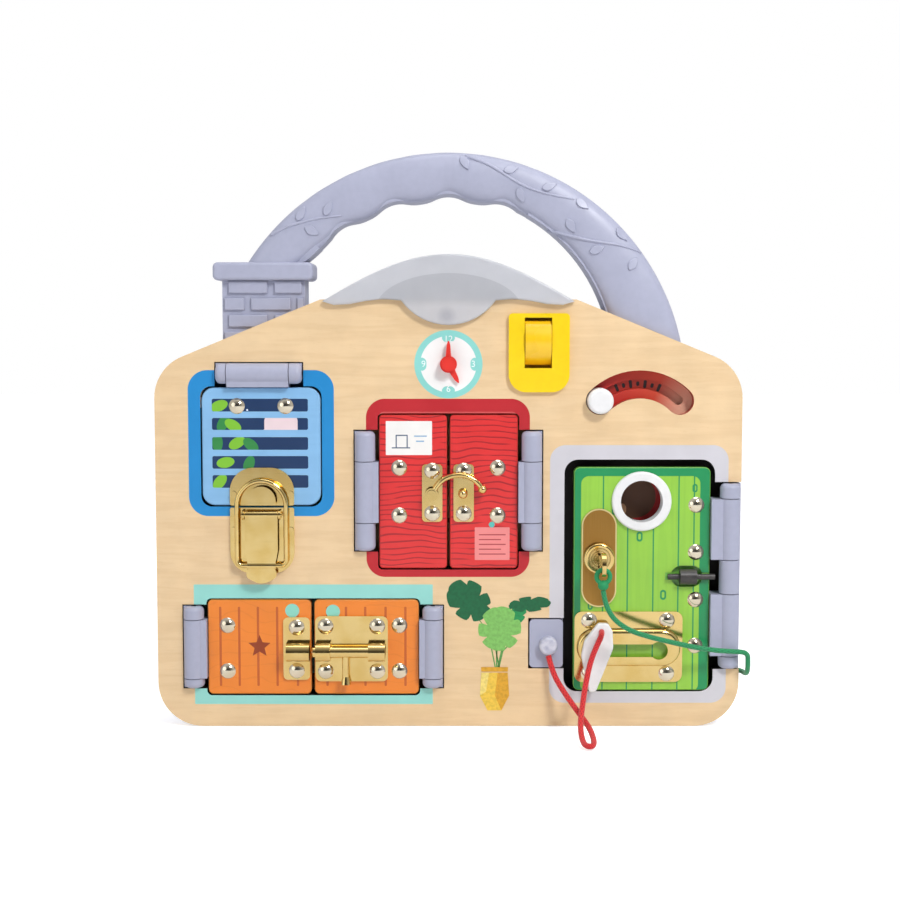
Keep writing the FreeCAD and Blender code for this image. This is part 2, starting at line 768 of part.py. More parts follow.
# Bolt of the orange doors
bolt_z = 39.7
bolt_y = front_y - 4.6
bolt_radius = 3.0
bolt_bore = 3.25
strap_radius = 4.9
keeper_left = -85.1
keeper_right = -71.3
bolt_plate_left = -68.6
bolt_plate_right = -31.2
bolt_plate_bottom = 23.7
bolt_plate_top = 57.7
strap_spans = ((-68.1, -60.6), (-41.1, -32.6))
bolt_tip = -70.2
bolt_end = -33.5
bolt_handle_x = -52.8
bolt_handle_radius = 1.8
bolt_handle_bottom = 23.0

# Green door fittings
peephole_x = 98.9
peephole_z = 117.1
peephole_outer = 15.3
peephole_inner = 10.7
escutcheon_half = 9.0
escutcheon_bottom = 62.4
escutcheon_top = 113.3
lock_x = 77.3
lock_z = 87.8
lock_ring_radius = 8.0
lock_barrel_radius = 7.0
lock_plug_radius = 5.6
lock_front = front_y - 4.0
cam_length = 20.5
cam_half = 3.6
cam_thick = 1.5
keyway_half = 0.9
keyway_reach = 2.9
key_thick_half = 0.75
key_bow_radius = 6.0
key_bow_y = front_y - 24.0
key_tip_y = front_y + 5.0

# Chain plate and its slider
chain_left = 64.9
chain_right = 120.5
chain_bottom = 23.4
chain_top = 60.1
chain_rise = 4.2
chain_ring_left = 66.0
chain_ring_right = 119.4
chain_ring_half = 9.6
chain_screw_rise = 13.8
chain_ring_z = 41.6
chain_slot_z = chain_ring_z - 1.3
slot_half = 3.3
slider_neck_x = 76.5
slider_neck_radius = 2.9
slider_head_radius = 4.1
slot_hole_x = 108.1
slot_hole_radius = 4.6
slider_y = front_y - chain_rise - 0.4
slider_thick = 3.0
slider_cord_x = 78.2
slider_cord_z = 50.7

# Roller bolt
roller_z = 78.3
roller_left = 112.5
roller_right = 136.6
roller_rod_radius = 1.5
roller_bead_left = 118.6
roller_bead_right = 127.2
roller_bead_radius = 4.0
roller_y = front_y - 1.8
roller_pocket = (114.4, 130.6, 72.8, 83.8)
roller_pocket_deep = 3.2

# Cords: chosen by hand along the photographed lie
red_cord_radius = 1.45
green_cord_radius = 1.3
stub_hole_y = -3.0
stub_hole_z = 27.0
knot_radius = 2.7
knot_bottom = 75.4
red_route = [(51.4, -18.4, 37.6), (53.3, -20.5, 29.3), (58.8, -26, 20.5), (65.0, -35, 12.8),
             (70.4, -45.5, 7.0), (71.8, -56.0, 3.2), (70.8, -62.0, 1.9), (67.8, -62.3, 1.9),
             (66.0, -58.2, 2.6), (65.3, -48.5, 8.2), (67.4, -38.5, 16.8), (69.6, -31.4, 26.6),
             (72.2, -28.6, 37.0), (75.4, -28.8, 45.2), (78.0, -27.6, 50.2), (78.2, -22.9, 50.9)]
green_route = [(77.3, -39.0, 75.05), (78.0, -40.0, 69.0), (82.0, -40.6, 61.0), (90.0, -39.8, 55.0),
               (99.8, -37.6, 51.4), (110.5, -34.6, 48.3), (122.0, -30.8, 45.0), (134.0, -26.6, 42.2),
               (145.0, -23.6, 40.8), (151.3, -22.8, 40.4), (153.2, -22.6, 38.6), (153.2, -22.5, 35.6)]
stub_route = [(153.2, -22.5, 35.5), (153.3, -22.3, 32.4), (153.6, -18.8, 29.0), (154.0, -11.5, 26.8),
              (153.4, -5.0, 26.7), (150.4, -3.0, 27.0), (147.2, -3.0, 27.0)]


def tube(name, route, radius):
    # Straight runs joined by tangent arcs, each as large as its two runs allow.
    points = [V(*p) for p in route]
    edges = []
    here = points[0]
    radii = []
    for i in range(1, len(points) - 1):
        corner = points[i]
        back = points[i - 1] - corner
        ahead = points[i + 1] - corner
        run = min(back.Length, ahead.Length)
        reach = 0.45 * run
        back.normalize()
        ahead.normalize()
        turn = math.pi - back.getAngle(ahead)
        radii.append(round(reach / math.tan(turn / 2), 1))
        start = corner + back * reach
        end = corner + ahead * reach
        inward = back + ahead
        inward.normalize()
        bend = reach / math.tan(turn / 2)
        middle = corner + inward * (bend / math.cos(turn / 2) - bend)
        edges.append(Part.LineSegment(here, start).toShape())
        edges.append(Part.Arc(start, middle, end).toShape())
        here = end
    edges.append(Part.LineSegment(here, points[-1]).toShape())
    path = Part.Wire(edges)
    way = points[1] - points[0]
    ring = Part.Wire([Part.Edge(Part.Circle(points[0], way, radius))])
    shape = path.makePipeShell([ring], True, False)
    expected = math.pi * radius ** 2 * path.Length
    print(name, "radii", radii, "length", round(path.Length, 1), "volume ratio",
            round(shape.Volume / expected, 4))
    return shape


def with_screws(name, door, leaf, places, plates=()):
    # Drill the door, its hinge leaf and its plates for the screws, and save all of them.
    screws = []
    for x, z, surface_y in places:
        hole = screw_hole(x, z, surface_y)
        door = door.cut(hole)
        leaf = leaf.cut(hole)
        screws.append(screw(x, z, surface_y))
    save(name, door)
    save(name + "_hinge_leaf", leaf)
    save(name + "_screws", screws)
    for plate_name, shape in plates:
        for x, z, surface_y in places:
            shape = shape.cut(screw_hole(x, z, surface_y))
        save(plate_name, shape)


def rounded_door(points, radii):
    door = slab(points, radii, front_y, panel_back_y)
    edges = [e for e in door.Edges if e.BoundBox.YMax < front_y + 0.01]
    return door.makeChamfer(0.5, edges)


def blue_window():
    door = rounded_door(rect(flap_left, flap_right, flap_bottom, flap_top), flap_corner)
    x = (flap_left + flap_right) / 2
    places = [(x + side * flap_screw_half, flap_top - flap_screw_inset, front_y) for side in (-1, 1)]
    catch = plate(rect(latch_x - latch_half, latch_x + latch_half, flap_bottom, latch_catch_top),
            [1, 1, 12, 12])
    neck = block(latch_x - hook_half, latch_x + hook_half, loop_pivot_y - loop_wire,
            front_y - plate_thick,
                 flap_bottom + 0.6, flap_bottom + 0.6 + hook_thick)
    tab = slab(rect(latch_x - hook_half, latch_x + hook_half, flap_bottom + 0.6, hook_top_z),
               [0, 0, hook_half - 0.1, hook_half - 0.1],
               loop_pivot_y - loop_wire + 0.2, loop_pivot_y - loop_wire + 0.2 + hook_thick)
    rivets = [screwless_rivet(latch_x + side * rivet_out, 120.9) for side in (-1, 1)]
    catch = fuse([catch, neck, tab] + rivets)
    with_screws("blue_flap", door, hinges["blue"][0], places, [("latch_catch", catch)])


def screwless_rivet(x, z):
    return disc(x, z, rivet_radius, front_y - plate_thick - 0.8, front_y - plate_thick)


def latch():
    base = plate(rect(latch_x - latch_half, latch_x + latch_half, latch_base_bottom,
            latch_base_top), [11, 11, 1, 1])
    parts = [base] + [screwless_rivet(latch_x + side * rivet_out, 102.3) for side in (-1, 1)]
    pivot = (lever_pivot_y, lever_pivot_z)
    for side in (-1, 1):
        inner = latch_x + side * (lever_half + run_clear)
        outer = latch_x + side * (lever_half + run_clear + ear_thick)
        parts.append(rod(2.4, (inner, *pivot), (outer, *pivot)))
        parts.append(block(min(inner, outer), max(inner, outer), lever_pivot_y,
                front_y - plate_thick / 2,
                           lever_pivot_z - 2.4, lever_pivot_z + 2.4))
    reach = lever_half + run_clear + ear_thick + 0.6
    parts.append(rod(latch_pin_radius, (latch_x - reach, *pivot), (latch_x + reach, *pivot)))
    save("latch_base_plate", fuse(parts))
    # The lever: a folded sheet with a flared tongue
    body = slab([(latch_x - lever_half, lever_pivot_z), (latch_x - lever_half, 92),
            (latch_x - 6.6, loop_pivot_z - 1),
                 (latch_x - 8.6, lever_tongue_z + 3), (latch_x,
                         lever_tongue_z - 1.5), (latch_x + 8.6, lever_tongue_z + 3),
                 (latch_x + 6.6, loop_pivot_z - 1), (latch_x + lever_half,
                         92), (latch_x + lever_half, lever_pivot_z)],
                [0, 3, 3, 3, 8, 3, 3, 3, 0], lever_pivot_y - lever_thick - 0.4, lever_pivot_y - 0.4)
    barrel = rod(2.2, (latch_x - lever_half, *pivot), (latch_x + lever_half, *pivot))
    loop_barrel = rod(2.1, (latch_x - lever_half + 1, loop_pivot_y, loop_pivot_z),
                      (latch_x + lever_half - 1, loop_pivot_y, loop_pivot_z))
    lever = fuse([body, barrel, loop_barrel])
    lever = lever.cut(rod(latch_pin_radius + pin_clear, (latch_x - 20, *pivot), (latch_x + 20, *pivot)))
    lever = lever.cut(rod(loop_wire + pin_clear, (latch_x - 20, loop_pivot_y, loop_pivot_z),
                          (latch_x + 20, loop_pivot_y, loop_pivot_z)))
    save("latch_lever", lever)
    # The wire loop, bent from one length
    low = at(latch_x - loop_half, loop_pivot_z + 3, loop_pivot_y)
    arch_z = loop_top_z - loop_half
    bend = 3 * (1 - math.sqrt(0.5))
    edges = []
    for side in (-1, 1):
        edges.append(Part.LineSegment(at(latch_x + side * (lever_half - 4), loop_pivot_z, loop_pivot_y),
                                      at(latch_x + side * (loop_half - 3), loop_pivot_z,
                                              loop_pivot_y)).toShape())
        edges.append(Part.Arc(at(latch_x + side * (loop_half - 3), loop_pivot_z, loop_pivot_y),
                              at(latch_x + side * (loop_half - bend), loop_pivot_z + bend, loop_pivot_y),
                              at(latch_x + side * loop_half, loop_pivot_z + 3, loop_pivot_y)).toShape())
        edges.append(Part.LineSegment(at(latch_x + side * loop_half, loop_pivot_z + 3, loop_pivot_y),
                                      at(latch_x + side * loop_half, arch_z, loop_pivot_y)).toShape())
    edges.append(Part.Arc(at(latch_x - loop_half, arch_z, loop_pivot_y),
            at(latch_x, loop_top_z, loop_pivot_y),
                          at(latch_x + loop_half, arch_z, loop_pivot_y)).toShape())
    path = Part.Wire(Part.sortEdges(edges)[0])
    start = path.OrderedVertexes[0].Point
    ring = Part.Wire([Part.Edge(Part.Circle(start, V(1, 0, 0), loop_wire))])
    save("latch_loop", path.makePipeShell([ring], True, False))


def red_doors():
    edge = red_half_gap
    for side, turn in ((-1, "left"), (1, "right")):
        x0, x1 = sorted((side * edge, side * (edge + red_door_width)))
        door = rounded_door(rect(x0, x1, red_bottom, red_top), 2.0)
        plate_x = clasp_left_x if side < 0 else clasp_right_x
        screw_x = side * (edge + red_door_width - red_screw_inset)
        plate_front = front_y - plate_thick
        places = [(screw_x, red_screw_low, front_y), (screw_x, red_screw_high, front_y),
                  (plate_x, clasp_screw_low, plate_front), (plate_x, clasp_screw_high, plate_front)]
        flat = plate(rect(plate_x - clasp_plate_width / 2, plate_x + clasp_plate_width / 2,
                          clasp_plate_bottom, clasp_plate_top), 2.0)
        if side < 0:
            arm_back = clasp_arm_y + clasp_arm_radius
            boss = disc(clasp_pivot_x, clasp_pivot_z, 2.6, arm_back + run_clear / 2, plate_front)
            pin = disc(clasp_pivot_x, clasp_pivot_z, 1.4, clasp_arm_y - clasp_arm_radius - 0.2,
                    plate_front)
            head = disc(clasp_pivot_x, clasp_pivot_z, 2.5, clasp_arm_y - clasp_arm_radius - 1.2,
                        clasp_arm_y - clasp_arm_radius - 0.2)
            extra = ("clasp_pivot_plate", fuse([flat, boss, pin, head]))
        else:
            stem = disc(clasp_post_x, clasp_post_z, 1.3, clasp_arm_y, plate_front)
            ball = Part.makeSphere(clasp_post_radius, V(clasp_post_x, clasp_arm_y, clasp_post_z))
            extra = ("clasp_post_plate", fuse([flat, stem, ball]))
        with_screws("red_door_" + turn, door, hinges["red_" + turn][0], places, [extra])


def clasp_arm():
    eye = disc(clasp_pivot_x, clasp_pivot_z, clasp_eye_radius, clasp_arm_y - clasp_arm_radius,
            clasp_arm_y + clasp_arm_radius)
    low = V(clasp_pivot_x + 1.4, clasp_arm_y, clasp_pivot_z + 2.2)
    crown = V(clasp_pivot_x + 10.1, clasp_arm_y, clasp_pivot_z + 9.5)
    tip = V(clasp_pivot_x + 26.0, clasp_arm_y, clasp_pivot_z + 2.7)
    line = Part.Arc(low, crown, tip).toShape()
    ring = Part.Wire([Part.makeCircle(clasp_arm_radius, low, line.tangentAt(line.FirstParameter))])
    bow = Part.Wire([line]).makePipeShell([ring], True, False)
    prong = rod(0.9, (crown.x + 3.5, clasp_arm_y, crown.z - 0.4), (crown.x + 4.9, clasp_arm_y, crown.z + 2.0))
    parts = [eye, bow, Part.makeSphere(clasp_arm_radius, low), Part.makeSphere(clasp_ball_radius, tip), prong]
    arm = fuse(parts)
    save("clasp_arm", arm.cut(disc(clasp_pivot_x, clasp_pivot_z, 1.4 + pin_clear, clasp_arm_y - 3,
            clasp_arm_y + 3)))


def strap(x0, x1, bore):
    # An arch over the bolt, with straight legs down to the plate.
    arch = rod(strap_radius, (x0, bolt_y, bolt_z), (x1, bolt_y, bolt_z))
    legs = block(x0, x1, bolt_y, front_y - plate_thick / 2, bolt_z - strap_radius, bolt_z + strap_radius)
    space = block(x0, x1, bolt_y - strap_radius, front_y, bolt_z - strap_radius, bolt_z + strap_radius)
    band = fuse([legs, arch]).common(space)
    return band.cut(rod(bore, (x0 - 1, bolt_y, bolt_z), (x1 + 1, bolt_y, bolt_z)))


def orange_doors():
    plate_front = front_y - plate_thick
    left_edges = rect(orange_left, orange_middle - orange_half_gap, orange_bottom, orange_top)
    right_edges = rect(orange_middle + orange_half_gap, orange_right, orange_bottom, orange_top)
    left = rounded_door(left_edges, 2.5)
    right = rounded_door(right_edges, 2.5)
    keeper_x = (keeper_left + keeper_right) / 2
    keeper = fuse([plate(rect(keeper_left, keeper_right, 24.5, 57.1), 2.5),
            strap(keeper_left + 2, keeper_right, bolt_bore)])
    heights = (orange_screw_low, orange_screw_high)
    sides = [(orange_left + orange_screw_inset, z, front_y) for z in heights]
    ends = [(keeper_x, z, plate_front) for z in (29.3, 51.8)]
    with_screws("orange_door_left", left, hinges["orange_left"][0], sides + ends,
            [("bolt_keeper", keeper)])
    guide = plate(rect(bolt_plate_left, bolt_plate_right, bolt_plate_bottom, bolt_plate_top), 3.0)
    guide = fuse([guide] + [strap(x0, x1, bolt_bore) for x0, x1 in strap_spans])
    sides = [(orange_right - orange_screw_inset, z, front_y) for z in heights]
    ends = [(x, z, plate_front) for x in (bolt_plate_left + 5.3, bolt_plate_right - 5.5)
            for z in (29.0, 52.4)]
    with_screws("orange_door_right", right, hinges["orange_right"][0], sides + ends,
            [("bolt_guide_plate", guide)])
    bolt = rod(bolt_radius, (bolt_tip, bolt_y, bolt_z), (bolt_end, bolt_y, bolt_z))
    bolt = bolt.makeChamfer(0.7, [e for e in bolt.Edges if e.BoundBox.XLength < 0.01])
    stem = rod(bolt_handle_radius, (bolt_handle_x, bolt_y, bolt_z),
            (bolt_handle_x, bolt_y, bolt_handle_bottom + 1))
    bell = Part.makeCone(2.7, bolt_handle_radius, 4.0, V(bolt_handle_x, bolt_y, bolt_handle_bottom),
            V(0, 0, 1))
    save("bolt_rod", fuse([bolt, stem, bell]))


def green_door_parts():
    door = rounded_door(rect(green_left, green_right, green_bottom, green_top), green_corner)
    door = door.cut(disc(peephole_x, peephole_z, peephole_inner + 1.2, front_y - 1, panel_back_y + 1))
    door = door.cut(disc(lock_x, lock_z, lock_barrel_radius, front_y - 1, panel_back_y + 1))
    left, right, bottom, top = roller_pocket
    door = door.cut(slab(rect(left, right, bottom, top), 5.4, front_y - 1, front_y + roller_pocket_deep))
    door = door.cut(block(roller_left - 1, green_right + 1, front_y - 1, front_y + 0.2,
            roller_z - 1.9, roller_z + 1.9))
    plate_front = front_y - plate_thick
    places = [(green_screw_x, z, front_y) for z in green_screw_z]
    places += [(x, z, plate_front) for x in (72.4, 112.4)
               for z in (chain_ring_z - chain_screw_rise, chain_ring_z + chain_screw_rise)]
    with_screws("green_door", door, hinges["green"][0], places, [("chain_plate", chain_plate())])
    ring = fuse([disc(peephole_x, peephole_z, peephole_outer, front_y - 2.2, front_y),
                 disc(peephole_x, peephole_z, peephole_inner + 1.1, front_y, panel_back_y)])
    rim = [e for e in ring.Edges if e.BoundBox.YMax < front_y - 2.1]
    ring = ring.makeFillet(1.2, rim)
    save("peephole_ring", ring.cut(disc(peephole_x, peephole_z, peephole_inner, front_y - 3,
            panel_back_y + 1)))
    oval = plate(rect(lock_x - escutcheon_half, lock_x + escutcheon_half, escutcheon_bottom,
            escutcheon_top),
                 escutcheon_half - 0.05, 1.0)
    save("lock_escutcheon", oval.cut(disc(lock_x, lock_z, lock_barrel_radius, front_y - 2, front_y + 1)))


def chain_plate():
    flat = plate(rect(chain_left, chain_right, chain_bottom, chain_top), 4.0)
    ring_points = rect(chain_ring_left, chain_ring_right, chain_ring_z - chain_ring_half,
            chain_ring_z + chain_ring_half)
    raised = slab(ring_points, chain_ring_half - 0.1, front_y - chain_rise, front_y - plate_thick)
    edges = [e for e in raised.Edges if e.BoundBox.YMax < front_y - chain_rise + 0.01]
    raised = raised.makeFillet(2.0, edges)
    whole = fuse([flat, raised])
    inside = rect(chain_ring_left + 3.5, chain_ring_right - 3.5, chain_ring_z - 7.4, chain_ring_z + 7.4)
    whole = whole.cut(slab(inside, 7.3, front_y - chain_rise + 1.0, front_y + 1))
    slot = rect(slider_neck_x - slot_half, slot_hole_x, chain_slot_z - slot_half,
            chain_slot_z + slot_half)
    whole = whole.cut(slab(slot, [slot_half - 0.05, 0, 0, slot_half - 0.05],
            front_y - chain_rise - 1, front_y + 1))
    return whole.cut(disc(slot_hole_x, chain_slot_z, slot_hole_radius, front_y - chain_rise - 1,
            front_y + 1))


def slider():
    body = slab([(72.2, 19.0), (75.6, 19.6), (84.4, 42.0), (84.0, 51.0), (81.6, 55.0), (76.6, 55.0),
            (69.6, 46.0), (68.0, 38.0)],
                [1.5, 1.5, 7, 3, 2.2, 2.2, 6, 6], slider_y - slider_thick, slider_y)
    body = body.makeFillet(1.0, [e for e in body.Edges if e.BoundBox.YMax < slider_y - slider_thick + 0.01])
    neck = disc(slider_neck_x, chain_slot_z, slider_neck_radius, slider_y, front_y - 0.4)
    head = disc(slider_neck_x, chain_slot_z, slider_head_radius, front_y - 2.6, front_y - 0.4)
    hole = disc(slider_cord_x, slider_cord_z, red_cord_radius, slider_y - slider_thick + 1.0,
            slider_y + 1)
    save("chain_slider", fuse([body, neck, head]).cut(hole))


def roller():
    parts = [rod(roller_rod_radius, (roller_left, roller_y, roller_z),
            (roller_right, roller_y, roller_z)),
             rod(roller_bead_radius, (roller_bead_left, roller_y, roller_z),
                     (roller_bead_right, roller_y, roller_z))]
    save("roller_bolt", fuse(parts))


def lock():
    ring = disc(lock_x, lock_z, lock_ring_radius, lock_front, front_y - 1.0)
    ring = ring.makeFillet(1.2, [e for e in ring.Edges if e.BoundBox.YMax < lock_front + 0.01])
    barrel = disc(lock_x, lock_z, lock_barrel_radius, front_y - 1.0, panel_back_y + 3.0)
    bore = disc(lock_x, lock_z, lock_plug_radius + pin_clear, lock_front - 1, panel_back_y + 4)
    nut_points = [(lock_x + 10.5 * math.cos(math.radians(60 * i)),
            lock_z + 10.5 * math.sin(math.radians(60 * i)))
                  for i in range(6)]
    nut = slab(nut_points, 0, panel_back_y, panel_back_y + 2.4)
    save("lock_housing", fuse([ring, barrel, nut]).cut(bore))
    plug = disc(lock_x, lock_z, lock_plug_radius, lock_front - 0.2, panel_back_y + 3.3)
    keyway = block(lock_x - keyway_half, lock_x + keyway_half, lock_front - 1, key_tip_y + 1,
                   lock_z - keyway_reach, lock_z + keyway_reach)
    save("lock_plug", plug.cut(keyway))
    cam_y = panel_back_y + 3.3
    cam = slab(rect(lock_x - cam_half, lock_x + cam_half, lock_z - cam_length, lock_z + cam_half),
            2.5, cam_y, cam_y + cam_thick)
    save("lock_cam", fuse([cam, disc(lock_x, lock_z, 2.6, cam_y + cam_thick, cam_y + cam_thick + 1.2)]))
    bow = rod(key_bow_radius, (lock_x - 1.0, key_bow_y, lock_z), (lock_x + 1.0, key_bow_y, lock_z))
    hole_z = lock_z - 2.5
    bow = bow.cut(rod(1.9, (lock_x - 3, key_bow_y, hole_z), (lock_x + 3, key_bow_y, hole_z)))
    blade = block(lock_x - key_thick_half, lock_x + key_thick_half, key_bow_y + key_bow_radius - 1,
            key_tip_y,
                  lock_z - keyway_reach + 0.3, lock_z + keyway_reach - 0.5)
    teeth = [block(lock_x - 2, lock_x + 2, y, y + 1.2, lock_z - keyway_reach,
            lock_z - keyway_reach + 1.2)
             for y in (front_y - 2, front_y + 0.4, front_y + 2.6)]
    shoulder = block(lock_x - 1.0, lock_x + 1.0, key_bow_y + key_bow_radius - 1,
            key_bow_y + key_bow_radius + 4,
                     lock_z - 3.2, lock_z + 3.2)
    save("door_key", cut(fuse([bow, blade, shoulder]), teeth))
    loop_z = lock_z - key_bow_radius + 0.1
    loop = Part.makeTorus(3.35, green_cord_radius * 0.9, V(lock_x, key_bow_y, loop_z), V(0, 1, 0))
    knot = Part.makeSphere(knot_radius, V(lock_x, key_bow_y, knot_bottom + 2.0))
    knot = knot.cut(block(lock_x - 5, lock_x + 5, key_bow_y - 5, key_bow_y + 5, knot_bottom - 5,
            knot_bottom))
    save("key_cord_loop", fuse([loop, knot]))


def anchor_and_cords():
    knob = disc(anchor_x, anchor_z, anchor_radius, anchor_front, front_y - 0.5)
    knob = knob.makeFillet(1.6, [e for e in knob.Edges if e.BoundBox.YMax < anchor_front + 0.01])
    save("anchor_knob", knob)
    save("red_cord", tube("red cord", red_route, red_cord_radius))
    save("green_cord", tube("green cord", green_route, green_cord_radius))
    save("green_cord_end", tube("green cord end", stub_route, green_cord_radius))


def main():
    os.makedirs("parts", exist_ok=True)
    front_panel()
    chassis()
    save("handle_front_shell", half_handle(panel_back_y, handle_split_y, panel_back_y))
    for make in (lens, clock, switch, arc_slider, cards, blue_window, latch, red_doors, clasp_arm,
            orange_doors,
                 green_door_parts, slider, roller, lock, anchor_and_cords):
        make()


main()
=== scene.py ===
import json
import math

import bpy
from mathutils import Matrix, Vector


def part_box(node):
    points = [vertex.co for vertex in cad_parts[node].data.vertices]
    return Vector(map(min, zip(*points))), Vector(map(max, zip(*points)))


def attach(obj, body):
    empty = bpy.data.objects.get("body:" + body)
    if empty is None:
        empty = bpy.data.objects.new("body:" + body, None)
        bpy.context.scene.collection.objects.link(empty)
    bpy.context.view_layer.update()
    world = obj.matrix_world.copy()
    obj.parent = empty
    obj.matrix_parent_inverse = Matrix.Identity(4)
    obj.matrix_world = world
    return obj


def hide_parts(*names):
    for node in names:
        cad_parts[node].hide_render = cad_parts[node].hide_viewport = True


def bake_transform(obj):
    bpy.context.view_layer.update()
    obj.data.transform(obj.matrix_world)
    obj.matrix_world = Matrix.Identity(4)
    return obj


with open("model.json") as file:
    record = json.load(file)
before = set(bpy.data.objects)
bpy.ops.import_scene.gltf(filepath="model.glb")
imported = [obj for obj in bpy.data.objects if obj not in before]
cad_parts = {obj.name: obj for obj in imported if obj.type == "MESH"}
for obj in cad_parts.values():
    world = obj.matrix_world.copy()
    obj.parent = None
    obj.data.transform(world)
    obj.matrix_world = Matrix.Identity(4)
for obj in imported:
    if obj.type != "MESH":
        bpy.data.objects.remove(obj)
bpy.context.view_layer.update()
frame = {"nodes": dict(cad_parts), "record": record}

mm = 0.001
nodes = frame["nodes"]
frontY = -15.0  # face of the wooden board, in millimetres
faceSlack = 0.15  # prints cover what lies this near the face
# the board's roof line: half its width, the eaves and the slope
roof = {"half": 150.0, "eave": 185.4, "slope": math.radians(22.3)}
print("frame loaded")


# Camera at the photograph's place, 800 mm in front of the board
cameraSettings = {"place": (0.8, -815.0, 206.0), "aim": (0.8, -15.0, 143.4), "lens": 62.8, "sensor": 36.0}


def makeCamera(settings):
    data = bpy.data.cameras.new("camera")
    camera = bpy.data.objects.new("camera", data)
    bpy.context.scene.collection.objects.link(camera)
    place = Vector(settings["place"]) * mm
    camera.location = place
    camera.rotation_euler = (Vector(settings["aim"]) * mm - place).to_track_quat("-Z", "Y").to_euler()
    data.lens = settings["lens"]
    data.sensor_width = settings["sensor"]
    data.dof.use_dof = False
    bpy.context.scene.camera = camera


makeCamera(cameraSettings)
print("camera made")


# Shader helpers
def rgb(red, green, blue):
    parts = [(v / 255.0) for v in (red, green, blue)]
    return tuple([v / 12.92 if v <= 0.04045 else ((v + 0.055) / 1.055) ** 2.4 for v in parts] + [1.0])


def shaded(colour, share):
    return tuple(v * share for v in colour[:3]) + (1.0,)


def feed(target, key, value):
    socket = target.inputs[key]
    if isinstance(value, bpy.types.NodeSocket):
        target.id_data.links.new(value, socket)
    else:
        socket.default_value = value


def put(tree, kind, inputs=None, **settings):
    made = tree.nodes.new(kind)
    for name, value in settings.items():
        setattr(made, name, value)
    for key, value in (inputs or {}).items():
        feed(made, key, value)
    return made


def calc(tree, operation, first, second=0.0, third=0.0):
    return put(tree, "ShaderNodeMath", {0: first, 1: second, 2: third}, operation=operation).outputs[0]


def vectorNode(tree, operation, first, second=(0, 0, 0)):
    return put(tree, "ShaderNodeVectorMath", {0: first, 1: second}, operation=operation)


def vectorCalc(tree, operation, first, second=(0, 0, 0)):
    return vectorNode(tree, operation, first, second).outputs[0]


def measure(tree, vector):
    return vectorNode(tree, "LENGTH", vector).outputs["Value"]


def noise(tree, point, scale, detail=2.0, roughness=0.5):
    inputs = {"Vector": point, "Scale": scale, "Detail": detail, "Roughness": roughness}
    return put(tree, "ShaderNodeTexNoise", inputs).outputs[0]


def spread(tree, value, low, high, first=0.0, last=1.0):
    # a value taken from low..high to first..last
    return put(tree, "ShaderNodeMapRange", {0: value, 1: low, 2: high, 3: first, 4: last}).outputs[0]


def overlay(tree, mask, below, above):
    return put(tree, "ShaderNodeMix", {0: mask, 6: below, 7: above}, data_type="RGBA").outputs[2]


def bumped(tree, strength, distance, height):
    inputs = {"Strength": strength, "Distance": distance, "Height": height}
    return put(tree, "ShaderNodeBump", inputs).outputs[0]


def split(tree, point):
    return put(tree, "ShaderNodeSeparateXYZ", {0: point}).outputs


def join(tree, x, z):
    return put(tree, "ShaderNodeCombineXYZ", {0: x, 2: z}).outputs[0]


def newGroup(name, inputs, outputs):
    tree = bpy.data.node_groups.new(name, "ShaderNodeTree")
    for title, kind in inputs:
        tree.interface.new_socket(title, in_out="INPUT", socket_type="NodeSocket" + kind)
    for title, kind in outputs:
        tree.interface.new_socket(title, in_out="OUTPUT", socket_type="NodeSocket" + kind)
    return tree, tree.nodes.new("NodeGroupInput").outputs, tree.nodes.new("NodeGroupOutput")


def useGroup(tree, group, inputs):
    made = tree.nodes.new("ShaderNodeGroup")
    made.node_tree = group
    for key, value in inputs.items():
        feed(made, key, value)
    return made.outputs


# Groups shared by the finishes; they work in millimetres
groupSettings = {
    "printEdge": 8.0, "warpScale": 0.25, "bandCount": 26.0, "poreScale": 4.5, "poreRough": 0.65,
    "poreFrom": 0.56, "poreTo": 0.72, "woodBump": 0.00012, "cloudScale": 0.07, "scratchTurn": (0.3, 0.7, 0.5),
    "scratchSize": (0.03, 0.4, 2.2), "scratchScale": 1.3, "scratchFrom": 0.66, "scratchTo": 0.7,
    "scratchDepth": -0.3, "peelBump": 0.0001,
}


def makeBoxMask(s):
    # 1 inside a rounded box on the board's face
    tree, given, out = newGroup("boxMask", [("Point", "Vector"), ("Centre", "Vector"), ("Half", "Vector"),
                                            ("Radius", "Float")], [("Mask", "Float")])
    moved = vectorCalc(tree, "SUBTRACT", given["Point"], given["Centre"])
    away = vectorCalc(tree, "ABSOLUTE", moved)
    radius = given["Radius"]
    corner = put(tree, "ShaderNodeCombineXYZ", {0: radius, 1: radius, 2: radius}).outputs[0]
    straight = vectorCalc(tree, "SUBTRACT", given["Half"], corner)
    over = vectorCalc(tree, "MAXIMUM", vectorCalc(tree, "SUBTRACT", away, straight), (0, 0, 0))
    depth = calc(tree, "SUBTRACT", radius, measure(tree, vectorCalc(tree, "MULTIPLY", over, (1, 0, 1))))
    soft = put(tree, "ShaderNodeMath", {0: depth, 1: s["printEdge"], 2: 0.5}, operation="MULTIPLY_ADD",
               use_clamp=True)
    feed(out, "Mask", soft.outputs[0])
    return tree


